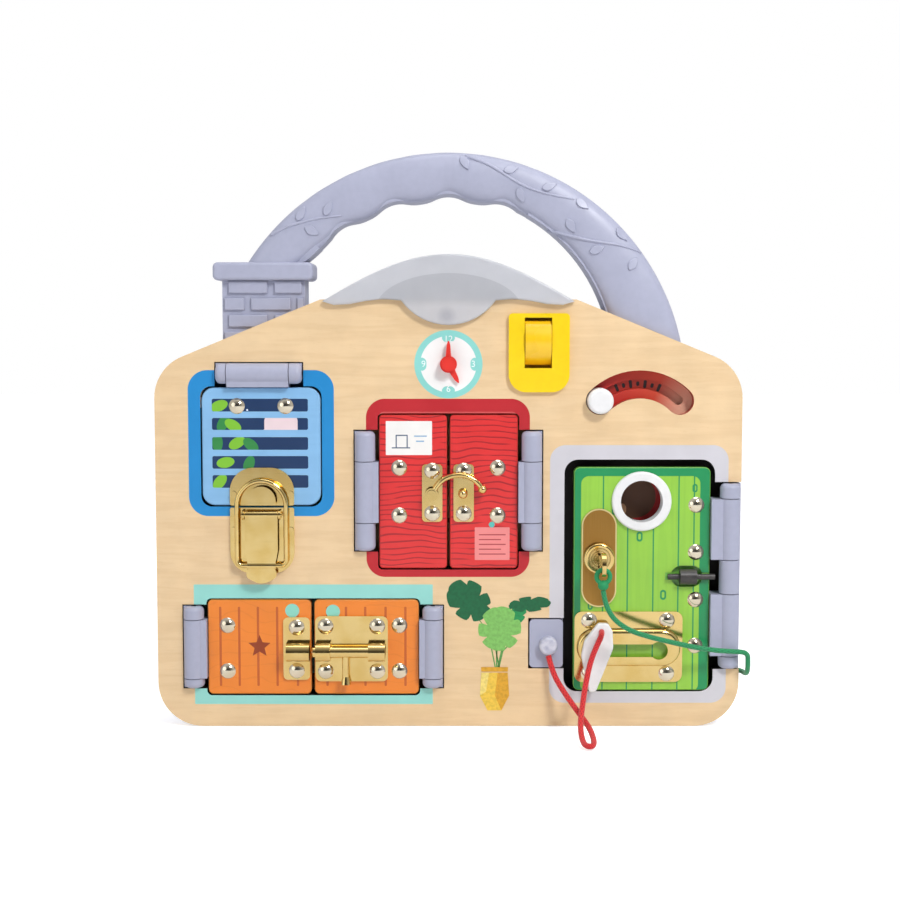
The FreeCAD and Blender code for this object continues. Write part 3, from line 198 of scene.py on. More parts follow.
def makeWoodGrain(s):
    # long soft bands, fine pores and a bump, stretched by Stretch
    tree, given, out = newGroup("woodGrain", [("Point", "Vector"), ("Stretch", "Vector"), ("Depth", "Float")],
                                [("Bands", "Float"), ("Pores", "Float"), ("Normal", "Vector")])
    along = vectorCalc(tree, "MULTIPLY", given["Point"], given["Stretch"])
    phase = calc(tree, "MULTIPLY", noise(tree, along, s["warpScale"], 3.0), s["bandCount"])
    bands = calc(tree, "MULTIPLY_ADD", calc(tree, "SINE", phase), 0.5, 0.5)
    pores = noise(tree, along, s["poreScale"], 5.0, s["poreRough"])
    height = calc(tree, "MULTIPLY_ADD", pores, 0.7, calc(tree, "MULTIPLY", bands, 0.3))
    feed(out, "Bands", bands)
    feed(out, "Pores", spread(tree, pores, s["poreFrom"], s["poreTo"]))
    feed(out, "Normal", bumped(tree, given["Depth"], s["woodBump"], height))
    return tree


def makeWear(s):
    # cloudy handling marks, hair-line scratches and a fine orange-peel bump
    tree, given, out = newGroup("wear", [("Point", "Vector"), ("Grit", "Float"), ("Depth", "Float")],
                                [("Cloud", "Float"), ("Scratch", "Float"), ("Normal", "Vector")])
    cloud = noise(tree, given["Point"], s["cloudScale"], 4.0)
    tilted = put(tree, "ShaderNodeMapping", {0: given["Point"], 2: s["scratchTurn"], 3: s["scratchSize"]})
    lines = noise(tree, tilted.outputs[0], s["scratchScale"])
    scratch = spread(tree, lines, s["scratchFrom"], s["scratchTo"])
    peel = noise(tree, given["Point"], given["Grit"], 3.0)
    height = calc(tree, "MULTIPLY_ADD", scratch, s["scratchDepth"], peel)
    feed(out, "Cloud", cloud)
    feed(out, "Scratch", scratch)
    feed(out, "Normal", bumped(tree, given["Depth"], s["peelBump"], height))
    return tree


boxMask = makeBoxMask(groupSettings)
woodGrain = makeWoodGrain(groupSettings)
wear = makeWear(groupSettings)


def start(name):
    made = bpy.data.materials.new(name)
    made.use_nodes = True
    tree = made.node_tree
    shader = tree.nodes["Principled BSDF"]
    place = tree.nodes.new("ShaderNodeTexCoord").outputs["Object"]
    return made, tree, shader, vectorCalc(tree, "MULTIPLY", place, (1000, 1000, 1000))


def box(tree, point, spot):
    left, right, low, high, radius = spot
    centre = ((left + right) / 2, 0, (low + high) / 2)
    half = ((right - left) / 2, 0, (high - low) / 2)
    return useGroup(tree, boxMask, {"Point": point, "Centre": centre, "Half": half, "Radius": radius})["Mask"]


def disc(tree, point, x, z, radius):
    return box(tree, point, (x - radius, x + radius, z - radius, z + radius, radius))


def frameMask(tree, point, spot, width):
    left, right, low, high, radius = spot
    inner = (left + width, right - width, low + width, high - width, max(radius - width, 0.3))
    return calc(tree, "SUBTRACT", box(tree, point, spot), box(tree, point, inner))


def anyBox(tree, point, spots):
    mask = None
    for spot in spots:
        one = box(tree, point, spot)
        mask = one if mask is None else calc(tree, "MAXIMUM", mask, one)
    return mask


def turned(tree, point, x, z, degrees, stretch=(1, 1)):
    # a point seen from (x, z), turned in the plane of the board
    moved = vectorCalc(tree, "SUBTRACT", point, (x, 0, z))
    spun = put(tree, "ShaderNodeMapping", {0: moved, 2: (0, math.radians(degrees), 0)}).outputs[0]
    return vectorCalc(tree, "MULTIPLY", spun, (stretch[0], 0, stretch[1]))


def printAll(tree, point, colour, shapes):
    for spot, shade in shapes:
        colour = overlay(tree, box(tree, point, spot), colour, shade)
    return colour


def grainBands(tree, point, stretch):
    return useGroup(tree, woodGrain, {"Point": point, "Stretch": stretch, "Depth": 0.15})["Bands"]


def onFace(tree, point):
    # 1 on the printed front of the board and its doors
    return calc(tree, "LESS_THAN", split(tree, point)[1], frontY + faceSlack)


# What a finish has when its own settings don't say
usual = {"grit": 1.6, "depth": 0.12, "cloud": 0.06, "metal": 0.0, "coat": 0.0, "patch": 0.3, "fade": 0.965,
         "coatRough": 0.12, "scratch": 0.08, "roughSpread": 0.15}


def close(tree, shader, point, colour, settings):
    # cloudiness, scratches, roughness and bump over any colour
    s = dict(usual, **settings)
    marks = useGroup(tree, wear, {"Point": point, "Grit": s["grit"], "Depth": s["depth"]})
    cloudy = spread(tree, marks["Cloud"], 0.35, 0.65, 1.0 - s["cloud"], 1.0)
    grey = put(tree, "ShaderNodeCombineColor", {0: cloudy, 1: cloudy, 2: cloudy}).outputs[0]
    dulled = put(tree, "ShaderNodeMix", {0: 1.0, 6: colour, 7: grey}, data_type="RGBA", blend_type="MULTIPLY")
    smooth = s["rough"] * (1 - s["roughSpread"])
    dull = s["rough"] * (1 + s["roughSpread"])
    rough = spread(tree, marks["Cloud"], 0.3, 0.7, smooth, dull)
    feed(shader, "Base Color", dulled.outputs[2])
    feed(shader, "Roughness", calc(tree, "MULTIPLY_ADD", marks["Scratch"], s["scratch"], rough))
    feed(shader, "Metallic", s["metal"])
    feed(shader, "Coat Weight", s["coat"])
    feed(shader, "Coat Roughness", s["coatRough"])
    feed(shader, "Normal", marks["Normal"])


def plain(name, settings):
    made, tree, shader, point = start(name)
    tone = noise(tree, point, settings.get("patch", usual["patch"]), 5.0)
    second = settings.get("second", shaded(settings["colour"], usual["fade"]))
    colour = overlay(tree, spread(tree, tone, 0.4, 0.65), settings["colour"], second)
    close(tree, shader, point, colour, settings)
    return made


def grained(tree, point, settings):
    # bare wood: bands and pores toned into one colour
    inputs = {"Point": point, "Stretch": settings["stretch"], "Depth": settings["deep"]}
    grain = useGroup(tree, woodGrain, inputs)
    banded = calc(tree, "MULTIPLY", grain["Bands"], settings["bandTone"])
    colour = overlay(tree, banded, settings["colour"], settings["dark"])
    pored = calc(tree, "MULTIPLY", grain["Pores"], settings["poreTone"])
    return overlay(tree, pored, colour, settings["dark"]), grain["Normal"]


# Clock printed on the board; the numerals are pieces of their own
clockSettings = {
    "x": 0.0, "z": 187.2, "rim": 17.35, "face": 14.3, "tab": (-3.4, 3.4, 11.2, 15.5, 2.6),
    "rimShade": rgb(140, 216, 208), "faceShade": rgb(246, 246, 244), "ink": rgb(236, 250, 248),
    "numeral": 4.6, "ring": 12.7, "hours": [("12", 90), ("3", 0), ("6", 270), ("9", 180)],
}

# Board of pale plywood, with its printed frames
boardSettings = {
    "colour": rgb(236, 206, 162), "dark": rgb(210, 172, 122), "stretch": (0.05, 1.0, 0.5), "deep": 0.25,
    "bandTone": 0.22, "poreTone": 0.25, "rough": 0.48, "coat": 0.15, "depth": 0.08,
    "ply": 1.4, "plyTone": 0.5, "plyShade": rgb(176, 132, 84),
    "prints": [
        ((-132.9, -58.4, 109.4, 184.2, 10.0), rgb(16, 138, 206)),
        ((-42.1, 41.6, 77.9, 169.6, 9.7), rgb(190, 24, 36)),
        ((-131.1, -8.1, 11.5, 74.0, 0.5), rgb(150, 218, 208)),
        ((52.0, 143.3, 12.2, 145.9, 8.0), rgb(208, 206, 212)),
    ],
    "line": (-35.8, 35.3, 82.4, 162.9, 3.0), "lineWidth": 0.45, "lineTone": 0.6,
    "lineShade": rgb(226, 120, 112),
    "wells": [(-140.0, 140.0, 8.0, 165.0, 6.0), (132.0, 146.5, 26.0, 130.0, 2.0),
              (-121.0, -72.0, 160.0, 190.0, 1.0)],
    # painted shade: the near-black colour of the board's cut edges inside the wells
    "wellPaintedShade": rgb(22, 20, 20), "slot": (66.0, 130.0, 158.0, 186.0, 6.0), "slotShade": rgb(176, 66, 48),
}


def printClock(tree, point, colour, s):
    for radius, shade in ((s["rim"], s["rimShade"]), (s["face"], s["faceShade"])):
        colour = overlay(tree, disc(tree, point, s["x"], s["z"], radius), colour, shade)
    for turn in range(len(s["hours"])):
        seen = turned(tree, point, s["x"], s["z"], 90 * turn)
        colour = overlay(tree, box(tree, seen, s["tab"]), colour, s["rimShade"])
    return colour


def boardMaterial(s):
    made, tree, shader, point = start("board plywood")
    wood, grainNormal = grained(tree, point, s)
    colour = printAll(tree, point, wood, s["prints"])
    line = frameMask(tree, point, s["line"], s["lineWidth"])
    colour = overlay(tree, calc(tree, "MULTIPLY", line, s["lineTone"]), colour, s["lineShade"])
    colour = printClock(tree, point, colour, clockSettings)
    layers = calc(tree, "SINE", calc(tree, "MULTIPLY", split(tree, point)[1], math.pi / s["ply"]))
    edge = overlay(tree, spread(tree, layers, -0.2, 0.2, 0.0, s["plyTone"]), wood, s["plyShade"])
    # painted shade: the cut edges inside the wells are darkened, standing for the shade in the gaps around
    # the doors
    for spot in s["wells"]:
        edge = overlay(tree, box(tree, point, spot), edge, s["wellPaintedShade"])
    edge = overlay(tree, box(tree, point, s["slot"]), edge, s["slotShade"])
    colour = overlay(tree, onFace(tree, point), edge, colour)
    close(tree, shader, point, colour, s)
    feed(shader, "Normal", grainNormal)
    return made


# Plastics, metals and other plain finishes, by the record's slot names
finishes = {
    "grey_plastic": {"colour": rgb(172, 175, 196), "second": rgb(169, 172, 193), "rough": 0.4, "grit": 3.0,
                     "depth": 0.06, "cloud": 0.03},
    "blue_wood": {"colour": rgb(135, 185, 228), "rough": 0.4},
    "red_wood": {"colour": rgb(232, 62, 56), "rough": 0.4},
    "orange_wood": {"colour": rgb(238, 130, 30), "rough": 0.4},
    "green_wood": {"colour": rgb(140, 200, 50), "rough": 0.4},
    "yellow_plastic": {"colour": rgb(250, 214, 12), "rough": 0.32, "grit": 2.2, "coat": 0.2},
    "amber_plastic": {"colour": rgb(250, 202, 24), "rough": 0.28, "grit": 2.2, "coat": 0.3},
    "brass": {"colour": rgb(232, 204, 136), "second": rgb(224, 192, 118), "metal": 1.0, "rough": 0.13,
              "grit": 0.5, "depth": 0.03, "cloud": 0.02, "patch": 0.1},
    "steel": {"colour": rgb(232, 222, 198), "second": rgb(220, 208, 182), "metal": 1.0, "rough": 0.12,
              "grit": 0.8, "depth": 0.03, "cloud": 0.03, "patch": 0.1},
    "white_plastic": {"colour": rgb(238, 238, 238), "rough": 0.35, "grit": 2.0},
    "card_print": {"colour": rgb(200, 188, 160), "rough": 0.6},
    "dark_plastic": {"colour": rgb(52, 50, 50), "second": rgb(70, 66, 64), "rough": 0.38, "grit": 2.0},
    "red_plastic": {"colour": rgb(228, 50, 40), "rough": 0.35},
    "board_green": {"colour": rgb(40, 110, 62), "second": rgb(28, 88, 50), "rough": 0.4, "patch": 1.2},
    "cell_label": {"colour": rgb(60, 66, 78), "second": rgb(44, 48, 58), "rough": 0.35},
    "red_cord": {"colour": rgb(222, 36, 40), "rough": 0.7},
    "green_cord": {"colour": rgb(30, 150, 92), "rough": 0.7},
}


# Grey moulding, with painted shade inside the wells behind the doors, and red under the arc track
chassisSettings = {
    "wells": [(-126, -66, 110, 178, 3), (-38, 38, 80, 168, 3), (-126, -14, 14, 72, 3), (52, 146, 12, 146, 3)],
    "wellFront": -7.9, "wellBack": 4.5, "wellPaintedShade": rgb(20, 19, 20), "fade": 0.94,
    "slot": (62, 134, 156, 188, 3), "slotBack": 12.0, "slotShade": rgb(214, 52, 44),
}


def chassisMaterial(s):
    grey = finishes["grey_plastic"]
    made, tree, shader, point = start("grey moulding with dark wells")
    colour = overlay(tree, noise(tree, point, 0.3, 5.0), grey["colour"], shaded(grey["colour"], s["fade"]))
    depth = split(tree, point)[1]
    behind = calc(tree, "GREATER_THAN", depth, s["wellFront"])
    well = calc(tree, "MULTIPLY", behind, calc(tree, "LESS_THAN", depth, s["wellBack"]))
    # painted shade: the wells behind the doors are darkened near black where they lie in shade behind the
    # gaps
    black = anyBox(tree, point, s["wells"])
    colour = overlay(tree, calc(tree, "MULTIPLY", black, well), colour, s["wellPaintedShade"])
    near = calc(tree, "LESS_THAN", depth, s["slotBack"])
    arc = calc(tree, "MULTIPLY", box(tree, point, s["slot"]), near)
    close(tree, shader, point, overlay(tree, arc, colour, s["slotShade"]), grey)
    return made


# Milky cap, with painted shade: a darker arch where its hollow inside shows through and a grey spot where the
# lamp sits behind it
lensSettings = {
    "colour": rgb(232, 233, 238), "second": rgb(222, 224, 230), "rough": 0.38, "grit": 1.2, "depth": 0.08,
    "cloud": 0.04, "archZ": 214.5, "archStretch": 0.505, "archRadius": 18.7, "archFrom": 216.0,
    "archTo": 220.0, "archShadeStrength": 0.45, "archPaintedShade": rgb(186, 188, 194), "lampX": -0.8, "lampZ": 211.7,
    "lampNear": 1.5, "lampFar": 5.5, "lampShadeStrength": 0.5, "lampPaintedShade": rgb(176, 180, 194), "clear": 0.35,
    "milk": 0.2, "reach": (0.004, 0.004, 0.004),
}


def lensMaterial(s):
    made, tree, shader, point = start("milky cap")
    colour = overlay(tree, noise(tree, point, 0.12, 3.0), s["colour"], s["second"])
    # painted shade: a darker arch where the hollow inside the cap shows through, darker towards its top
    arch = disc(tree, turned(tree, point, 0.0, s["archZ"], 0, (s["archStretch"], 1.0)), 0, 0, s["archRadius"])
    above = spread(tree, split(tree, point)[2], s["archFrom"], s["archTo"], 0.0, s["archShadeStrength"])
    colour = overlay(tree, calc(tree, "MULTIPLY", arch, above), colour, s["archPaintedShade"])
    # painted shade: a grey spot where the lamp sits behind the cap
    near = measure(tree, turned(tree, point, s["lampX"], s["lampZ"], 0))
    spot = spread(tree, near, s["lampNear"], s["lampFar"], s["lampShadeStrength"], 0.0)
    close(tree, shader, point, overlay(tree, spot, colour, s["lampPaintedShade"]), s)
    feed(shader, "Transmission Weight", s["clear"])
    feed(shader, "Subsurface Weight", s["milk"])
    feed(shader, "Subsurface Radius", s["reach"])
    return made


# Window flap: pale blue slats over a night sky
flapSettings = {
    "rough": 0.36, "coat": 0.2, "depth": 0.1, "pale": rgb(138, 190, 232), "dark": rgb(112, 162, 210),
    "stretch": (0.06, 1.0, 0.6), "bandTone": 0.12, "left": -120.7, "right": -71.7, "round": 0.9,
    "gaps": [(163.1, 169.6), (153.7, 159.8), (143.5, 150.0), (133.8, 140.3), (124.0, 130.5)],
    "sky": rgb(16, 52, 96), "starScale": 0.16, "starSize": 0.09, "starShade": rgb(226, 236, 250),
    "moon": (-94.0, -77.0, 150.0, 162.0, 4.0), "moonShade": rgb(238, 216, 220),
    "leafRadius": 4.6, "leafStretch": (1.0, 1.7), "leafShades": [rgb(128, 196, 50), rgb(50, 140, 70)],
    "leaves": [(-117, 166, 20, 0), (-115, 157, 60, 1), (-110, 156, 150, 0), (-118, 147, 90, 1),
               (-108, 147, 30, 0), (-101, 146, 140, 1), (-114, 137, 10, 0), (-102, 136, 70, 1),
               (-117, 127, 50, 0), (-106, 126, 120, 1)],
}


def flapMaterial(s):
    made, tree, shader, point = start("flap print")
    bands = calc(tree, "MULTIPLY", grainBands(tree, point, s["stretch"]), s["bandTone"])
    paint = overlay(tree, bands, s["pale"], s["dark"])
    speck = put(tree, "ShaderNodeTexVoronoi", {"Vector": point, "Scale": s["starScale"]})
    stars = calc(tree, "LESS_THAN", speck.outputs["Distance"], s["starSize"])
    sky = overlay(tree, stars, s["sky"], s["starShade"])
    sky = overlay(tree, box(tree, point, s["moon"]), sky, s["moonShade"])
    for x, z, angle, shade in s["leaves"]:
        seen = turned(tree, point, x, z, angle, s["leafStretch"])
        sky = overlay(tree, disc(tree, seen, 0, 0, s["leafRadius"]), sky, s["leafShades"][shade])
    gaps = anyBox(tree, point, [(s["left"], s["right"], low, high, s["round"]) for low, high in s["gaps"]])
    close(tree, shader, point, overlay(tree, gaps, paint, sky), s)
    return made


# Painted doors with drawn wood lines
paper = rgb(246, 244, 240)
ink = rgb(70, 90, 120)
cloudInk = rgb(120, 170, 210)
doorPaint = {"rough": 0.34, "coat": 0.3, "depth": 0.1}
drawnPaint = dict(doorPaint, breaks=(0.035, 0, 0.4), stretch=(0.06, 1.0, 0.6), sideTone=0.2)
noteLines = {"left": 15.6, "right": 29.4, "short": 2.4, "low": 89.5, "pitch": 2.5, "count": 5, "thick": 0.55}
redDoors = dict(drawnPaint, **{
    "name": "red door paint", "colour": rgb(224, 44, 44), "line": rgb(150, 18, 28), "side": rgb(214, 60, 52),
    "flow": (0.03, 0, 0.035), "bend": 13.0, "pitch": 3.1, "thin": 0.72, "ink": 0.8,
    "discs": [(22.2, 105.0, 1.5)], "discShade": rgb(90, 190, 180),
    "prints": [
        ((-32.0, -8.4, 140.8, 158.2, 0.4), paper), ((-29.0, -19.5, 144.2, 144.8, 0.3), ink),
        ((-27.0, -26.4, 144.2, 151.0, 0.3), ink), ((-21.4, -20.8, 144.2, 151.0, 0.3), ink),
        ((-27.0, -20.8, 150.6, 151.2, 0.3), ink), ((-17.6, -11.0, 150.2, 150.8, 0.3), cloudInk),
        ((-16.6, -12.4, 147.6, 148.2, 0.3), cloudInk), ((13.5, 31.4, 86.7, 103.6, 0.4), rgb(240, 140, 138)),
    ],
})
for row in range(noteLines["count"]):
    lineLow = noteLines["low"] + noteLines["pitch"] * row
    lineRight = noteLines["right"] - noteLines["short"] * (row % 2)
    lineSpot = (noteLines["left"], lineRight, lineLow, lineLow + noteLines["thick"], 0.27)
    redDoors["prints"].append((lineSpot, rgb(176, 60, 66)))
orangeDoors = dict(drawnPaint, **{
    "name": "orange door paint", "colour": rgb(240, 134, 36), "line": rgb(178, 78, 14),
    "side": rgb(232, 150, 70), "flow": (0.04, 0, 0.05), "bend": 20.0, "pitch": 6.5, "thin": 0.9, "ink": 0.15,
    "discs": [(-80.5, 60.4, 3.6), (-59.5, 59.9, 3.6)], "discShade": rgb(140, 214, 196),
    "prints": [((x - 0.6, x + 0.6, 21.0, 62.4, 0.5), rgb(196, 92, 22))
               for x in (-117.6, -107.9, -98.2, -88.3, -77.8, -62.5, -52.8, -42.9, -32.4, -22.2)],
})


def doorMaterial(s):
    made, tree, shader, point = start(s["name"])
    warp = noise(tree, vectorCalc(tree, "MULTIPLY", point, s["flow"]), 1.0, 1.5)
    bent = calc(tree, "MULTIPLY_ADD", warp, s["bend"], split(tree, point)[2])
    wave = calc(tree, "SINE", calc(tree, "MULTIPLY", bent, 2 * math.pi / s["pitch"]))
    line = spread(tree, wave, s["thin"], s["thin"] + 0.12)
    broken = noise(tree, vectorCalc(tree, "MULTIPLY", point, s["breaks"]), 1.0)
    kept = spread(tree, broken, 0.36, 0.44, 0.0, s["ink"])
    colour = overlay(tree, calc(tree, "MULTIPLY", line, kept), s["colour"], s["line"])
    colour = printAll(tree, point, colour, s["prints"])
    for x, z, radius in s["discs"]:
        colour = overlay(tree, disc(tree, point, x, z, radius), colour, s["discShade"])
    bands = calc(tree, "MULTIPLY", grainBands(tree, point, s["stretch"]), s["sideTone"])
    side = overlay(tree, bands, s["side"], s["line"])
    close(tree, shader, point, overlay(tree, onFace(tree, point), side, colour), s)
    return made


# Green door: planks with knots inside a darker border
greenDoor = dict(doorPaint, **{
    "side": rgb(120, 190, 80), "border": rgb(14, 146, 84), "plank": rgb(150, 206, 66),
    "bandShade": rgb(84, 160, 48), "seam": rgb(28, 146, 84), "stretch": (0.8, 1.0, 0.05), "bandTone": 0.1,
    "inside": (68.0, 129.0, 18.0, 130.0, 4.0), "seams": (79.4, 92.0, 105.2, 118.1, 126.0), "seamHalf": 0.35,
    "low": 10, "high": 140,
    "knots": [(98.1, 98.8, 2.6), (110.5, 68.6, 2.6), (126.3, 123.8, 2.2), (85.0, 112.0, 2.0),
              (73.0, 63.0, 2.2)],
    "knotWide": 0.6, "coreWide": 0.25, "coreTall": 0.6,
})


def greenMaterial(s):
    made, tree, shader, point = start("green door paint")
    bands = calc(tree, "MULTIPLY", grainBands(tree, point, s["stretch"]), s["bandTone"])
    panel = overlay(tree, bands, s["plank"], s["bandShade"])
    for x in s["seams"]:
        seam = (x - s["seamHalf"], x + s["seamHalf"], s["low"], s["high"], 0.3)
        panel = overlay(tree, box(tree, point, seam), panel, s["seam"])
    for x, z, half in s["knots"]:
        wide = half * s["knotWide"]
        core = half * s["coreWide"]
        tall = half * s["coreTall"]
        outside = box(tree, point, (x - wide, x + wide, z - half, z + half, wide))
        hollow = box(tree, point, (x - core, x + core, z - tall, z + tall, core))
        panel = overlay(tree, calc(tree, "SUBTRACT", outside, hollow), panel, s["seam"])
    colour = overlay(tree, box(tree, point, s["inside"]), s["border"], panel)
    close(tree, shader, point, overlay(tree, onFace(tree, point), s["side"], colour), s)
    return made


# Printed cards behind the doors, with made-up scenes
cardShades = {
    "sky": rgb(120, 178, 220), "wall": rgb(226, 196, 150), "shelf": rgb(150, 104, 66),
    "brown": rgb(112, 74, 52), "crescent": rgb(206, 48, 52), "tan": rgb(222, 170, 130),
    "teal": rgb(150, 214, 204), "sun": rgb(250, 214, 90), "black": rgb(20, 19, 19), "hill": rgb(118, 186, 96),
}
cardSettings = {
    "rough": 0.55, "depth": 0.08, "fibre": 0.12,
    "prints": [
        ((-140, -50, 100, 190, 0.5), "sky"), ((-140, -50, 100, 128, 0.5), "hill"),
        ((-50, 50, 70, 175, 0.5), "wall"), ((-50, 50, 104, 106.5, 0.5), "shelf"),
        ((-50, 50, 134, 136.5, 0.5), "shelf"), ((-140, -5, 5, 76, 0.5), "teal"),
        ((-140, -5, 5, 24, 0.5), "shelf"), ((50, 150, 5, 150, 0.5), "black"),
        ((84, 114, 102, 132, 15.0), "brown"),
    ],
    "balls": [(-80, 160, 7, "sun"), (-26, 112, 5, "hill"), (-12, 111, 4.2, "hill"),
              (14, 112.5, 5.6, "crescent"), (28, 111, 4.2, "crescent"), (-20, 141, 4.6, "hill"),
              (20, 141, 4.6, "crescent"),
              (-110, 30, 6, "hill"), (-92, 29, 4.6, "hill"), (-44, 30, 6, "hill"), (-28, 29, 4.6, "hill")],
    "moon": (101.5, 117.0, 12.0), "moonCut": (97.2, 117.6, 11.2), "button": (88.0, 93.0, 108.0, 114.0, 2.4),
}


def cardMaterial(s, shades):
    made, tree, shader, point = start("card print")
    colour = printAll(tree, point, shades["wall"], [(spot, shades[name]) for spot, name in s["prints"]])
    for x, z, radius, name in s["balls"]:
        colour = overlay(tree, disc(tree, point, x, z, radius), colour, shades[name])
    moon = calc(tree, "SUBTRACT", disc(tree, point, *s["moon"]), disc(tree, point, *s["moonCut"]))
    colour = overlay(tree, calc(tree, "MAXIMUM", moon, 0.0), colour, shades["crescent"])
    colour = overlay(tree, box(tree, point, s["button"]), colour, shades["tan"])
    fibre = calc(tree, "MULTIPLY", noise(tree, point, 1.4, 5.0), s["fibre"])
    close(tree, shader, point, overlay(tree, fibre, colour, shades["brown"]), s)
    return made


# Arc track: red fading to beige, with plain dark marks
arcSettings = {
    "x": 97.7, "z": 147.8, "radius": 29.1, "halfAngle": 56.6, "rough": 0.4, "depth": 0.08, "coat": 0.2,
    "hot": rgb(198, 24, 32), "warm": rgb(206, 70, 44), "warmAt": 0.68, "pale": rgb(226, 178, 150),
    "mark": rgb(46, 22, 22), "count": 7, "marksAngle": 22, "markHalf": 0.8, "markTall": (2.1, 1.2),
}


def arcMaterial(s):
    made, tree, shader, point = start("arc track print")
    axes = split(tree, point)
    across = calc(tree, "SUBTRACT", axes[0], s["x"])
    up = calc(tree, "SUBTRACT", axes[2], s["z"])
    angle = calc(tree, "ARCTAN2", across, up)
    reach = math.radians(s["halfAngle"])
    ramp = put(tree, "ShaderNodeValToRGB", {0: spread(tree, angle, -reach, reach)})
    ramp.color_ramp.elements[0].color = s["hot"]
    ramp.color_ramp.elements[1].color = s["pale"]
    ramp.color_ramp.elements.new(s["warmAt"]).color = s["warm"]
    away = measure(tree, join(tree, across, up))
    colour = ramp.outputs[0]
    for index in range(s["count"]):
        tall = s["markTall"][index % 2]
        centre = math.radians(-s["marksAngle"] + 2 * s["marksAngle"] * index / (s["count"] - 1))
        turn = calc(tree, "MULTIPLY", calc(tree, "SUBTRACT", angle, centre), s["radius"])
        seen = join(tree, turn, calc(tree, "SUBTRACT", away, s["radius"]))
        mark = box(tree, seen, (-s["markHalf"], s["markHalf"], -tall, tall, 0.7))
        colour = overlay(tree, mark, colour, s["mark"])
    close(tree, shader, point, colour, s)
    return made


# Lock: turned rings and a keyway painted dark as shade in the plug, brushed lines and a painted highlight
# along the rim of its plate
lockSettings = {
    "x": 77.3, "z": 87.8, "rings": 5.0, "ringTone": 0.5, "ringShade": rgb(150, 116, 60), "plugRough": 0.24,
    "keyway": (76.6, 78.0, 83.0, 89.0, 0.6), "keywayPaintedShade": rgb(60, 40, 22), "plateRough": 0.32,
    "plateDepth": 0.06, "brush": (3.0, 1.0, 0.08), "plate": rgb(184, 140, 74), "plateDark": rgb(168, 124, 60),
    "rim": rgb(240, 222, 160), "rimHighlightWidth": 0.7,
}


def plugMaterial(s):
    brass = dict(finishes["brass"], rough=s["plugRough"])
    made, tree, shader, point = start("turned brass")
    rings = measure(tree, turned(tree, point, s["x"], s["z"], 0))
    wave = calc(tree, "SINE", calc(tree, "MULTIPLY", rings, s["rings"]))
    colour = overlay(tree, spread(tree, wave, -1.0, 1.0, 0.0, s["ringTone"]), brass["colour"], s["ringShade"])
    # painted shade: the keyway slot is a dark patch painted on the plug
    colour = overlay(tree, box(tree, point, s["keyway"]), colour, s["keywayPaintedShade"])
    close(tree, shader, point, colour, brass)
    return made


def escutcheonMaterial(s):
    brass = dict(finishes["brass"], rough=s["plateRough"], depth=s["plateDepth"])
    made, tree, shader, point = start("satin escutcheon")
    low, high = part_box("lock_escutcheon")
    spot = (low.x / mm, high.x / mm, low.z / mm, high.z / mm, (high.x - low.x) / 2 / mm)
    lines = noise(tree, vectorCalc(tree, "MULTIPLY", point, s["brush"]), 1.0, 3.0)
    colour = overlay(tree, lines, s["plate"], s["plateDark"])
    # painted highlight: a pale band along the plate's rim
    colour = overlay(tree, frameMask(tree, point, spot, s["rimHighlightWidth"]), colour, s["rim"])
    close(tree, shader, point, colour, brass)
    return made


def dress():
    slotOf = {part["node"]: part["material_slot"] for part in frame["record"]["subparts"]}
    made = {name: plain(name, settings) for name, settings in finishes.items()}
    made["panel_wood"] = boardMaterial(boardSettings)
    made["lens_plastic"] = lensMaterial(lensSettings)
    red = doorMaterial(redDoors)
    orange = doorMaterial(orangeDoors)
    own = {
        "blue_flap": flapMaterial(flapSettings), "red_door_left": red, "red_door_right": red,
        "orange_door_left": orange, "orange_door_right": orange, "green_door": greenMaterial(greenDoor),
        "picture_cards": cardMaterial(cardSettings, cardShades), "arc_track_plate": arcMaterial(arcSettings),
        "lock_plug": plugMaterial(lockSettings), "lock_escutcheon": escutcheonMaterial(lockSettings),
        "rear_chassis": chassisMaterial(chassisSettings),
        "anchor_knob": plain("pale grey knob", dict(finishes["grey_plastic"], colour=rgb(206, 206, 218))),
    }
    for name, piece in nodes.items():
        finish = own.get(name, made[slotOf[name]])
        piece.data.materials.clear()
        piece.data.materials.append(finish)
    return made


coats = dress()
print("CAD nodes dressed", len(nodes))


# Cords, on the routes that the part's source names, in metres
redRoute = [
    (0.0514, -0.0184, 0.0376), (0.0533, -0.0205, 0.0293), (0.0588, -0.026, 0.0205),
    (0.0650, -0.035, 0.0128), (0.0704, -0.0455, 0.0070), (0.0718, -0.0560, 0.0032),
    (0.0708, -0.0620, 0.0019), (0.0678, -0.0623, 0.0019), (0.0660, -0.0582, 0.0026),
    (0.0653, -0.0485, 0.0082), (0.0674, -0.0385, 0.0168), (0.0696, -0.0314, 0.0266),
    (0.0722, -0.0286, 0.0370), (0.0754, -0.0288, 0.0452), (0.0780, -0.0276, 0.0502),
    (0.0782, -0.0229, 0.0509),
]
greenRoute = [
    (0.0773, -0.0390, 0.07505), (0.0780, -0.0400, 0.0690), (0.0820, -0.0406, 0.0610),
    (0.0900, -0.0398, 0.0550), (0.0998, -0.0376, 0.0514), (0.1105, -0.0346, 0.0483),
    (0.1220, -0.0308, 0.0450), (0.1340, -0.0266, 0.0422), (0.1450, -0.0236, 0.0408),
    (0.1513, -0.0228, 0.0404), (0.1532, -0.0226, 0.0386), (0.1532, -0.0225, 0.0356),
    (0.1533, -0.0223, 0.0324), (0.1536, -0.0188, 0.0290), (0.1540, -0.0115, 0.0268),
    (0.1534, -0.0050, 0.0267), (0.1504, -0.0030, 0.0270), (0.1472, -0.0030, 0.0270),
]
yarn = {"plaits": 6, "shadow": 0.45, "fuzz": 9.0, "fuzzTone": 0.4, "strength": 0.7, "bump": 0.0002,
        "rough": 0.75, "sheen": 0.3}
cordSettings = {"red": dict(yarn, radius=0.00145, strand=2.2), "green": dict(yarn, radius=0.0013, strand=2.0)}


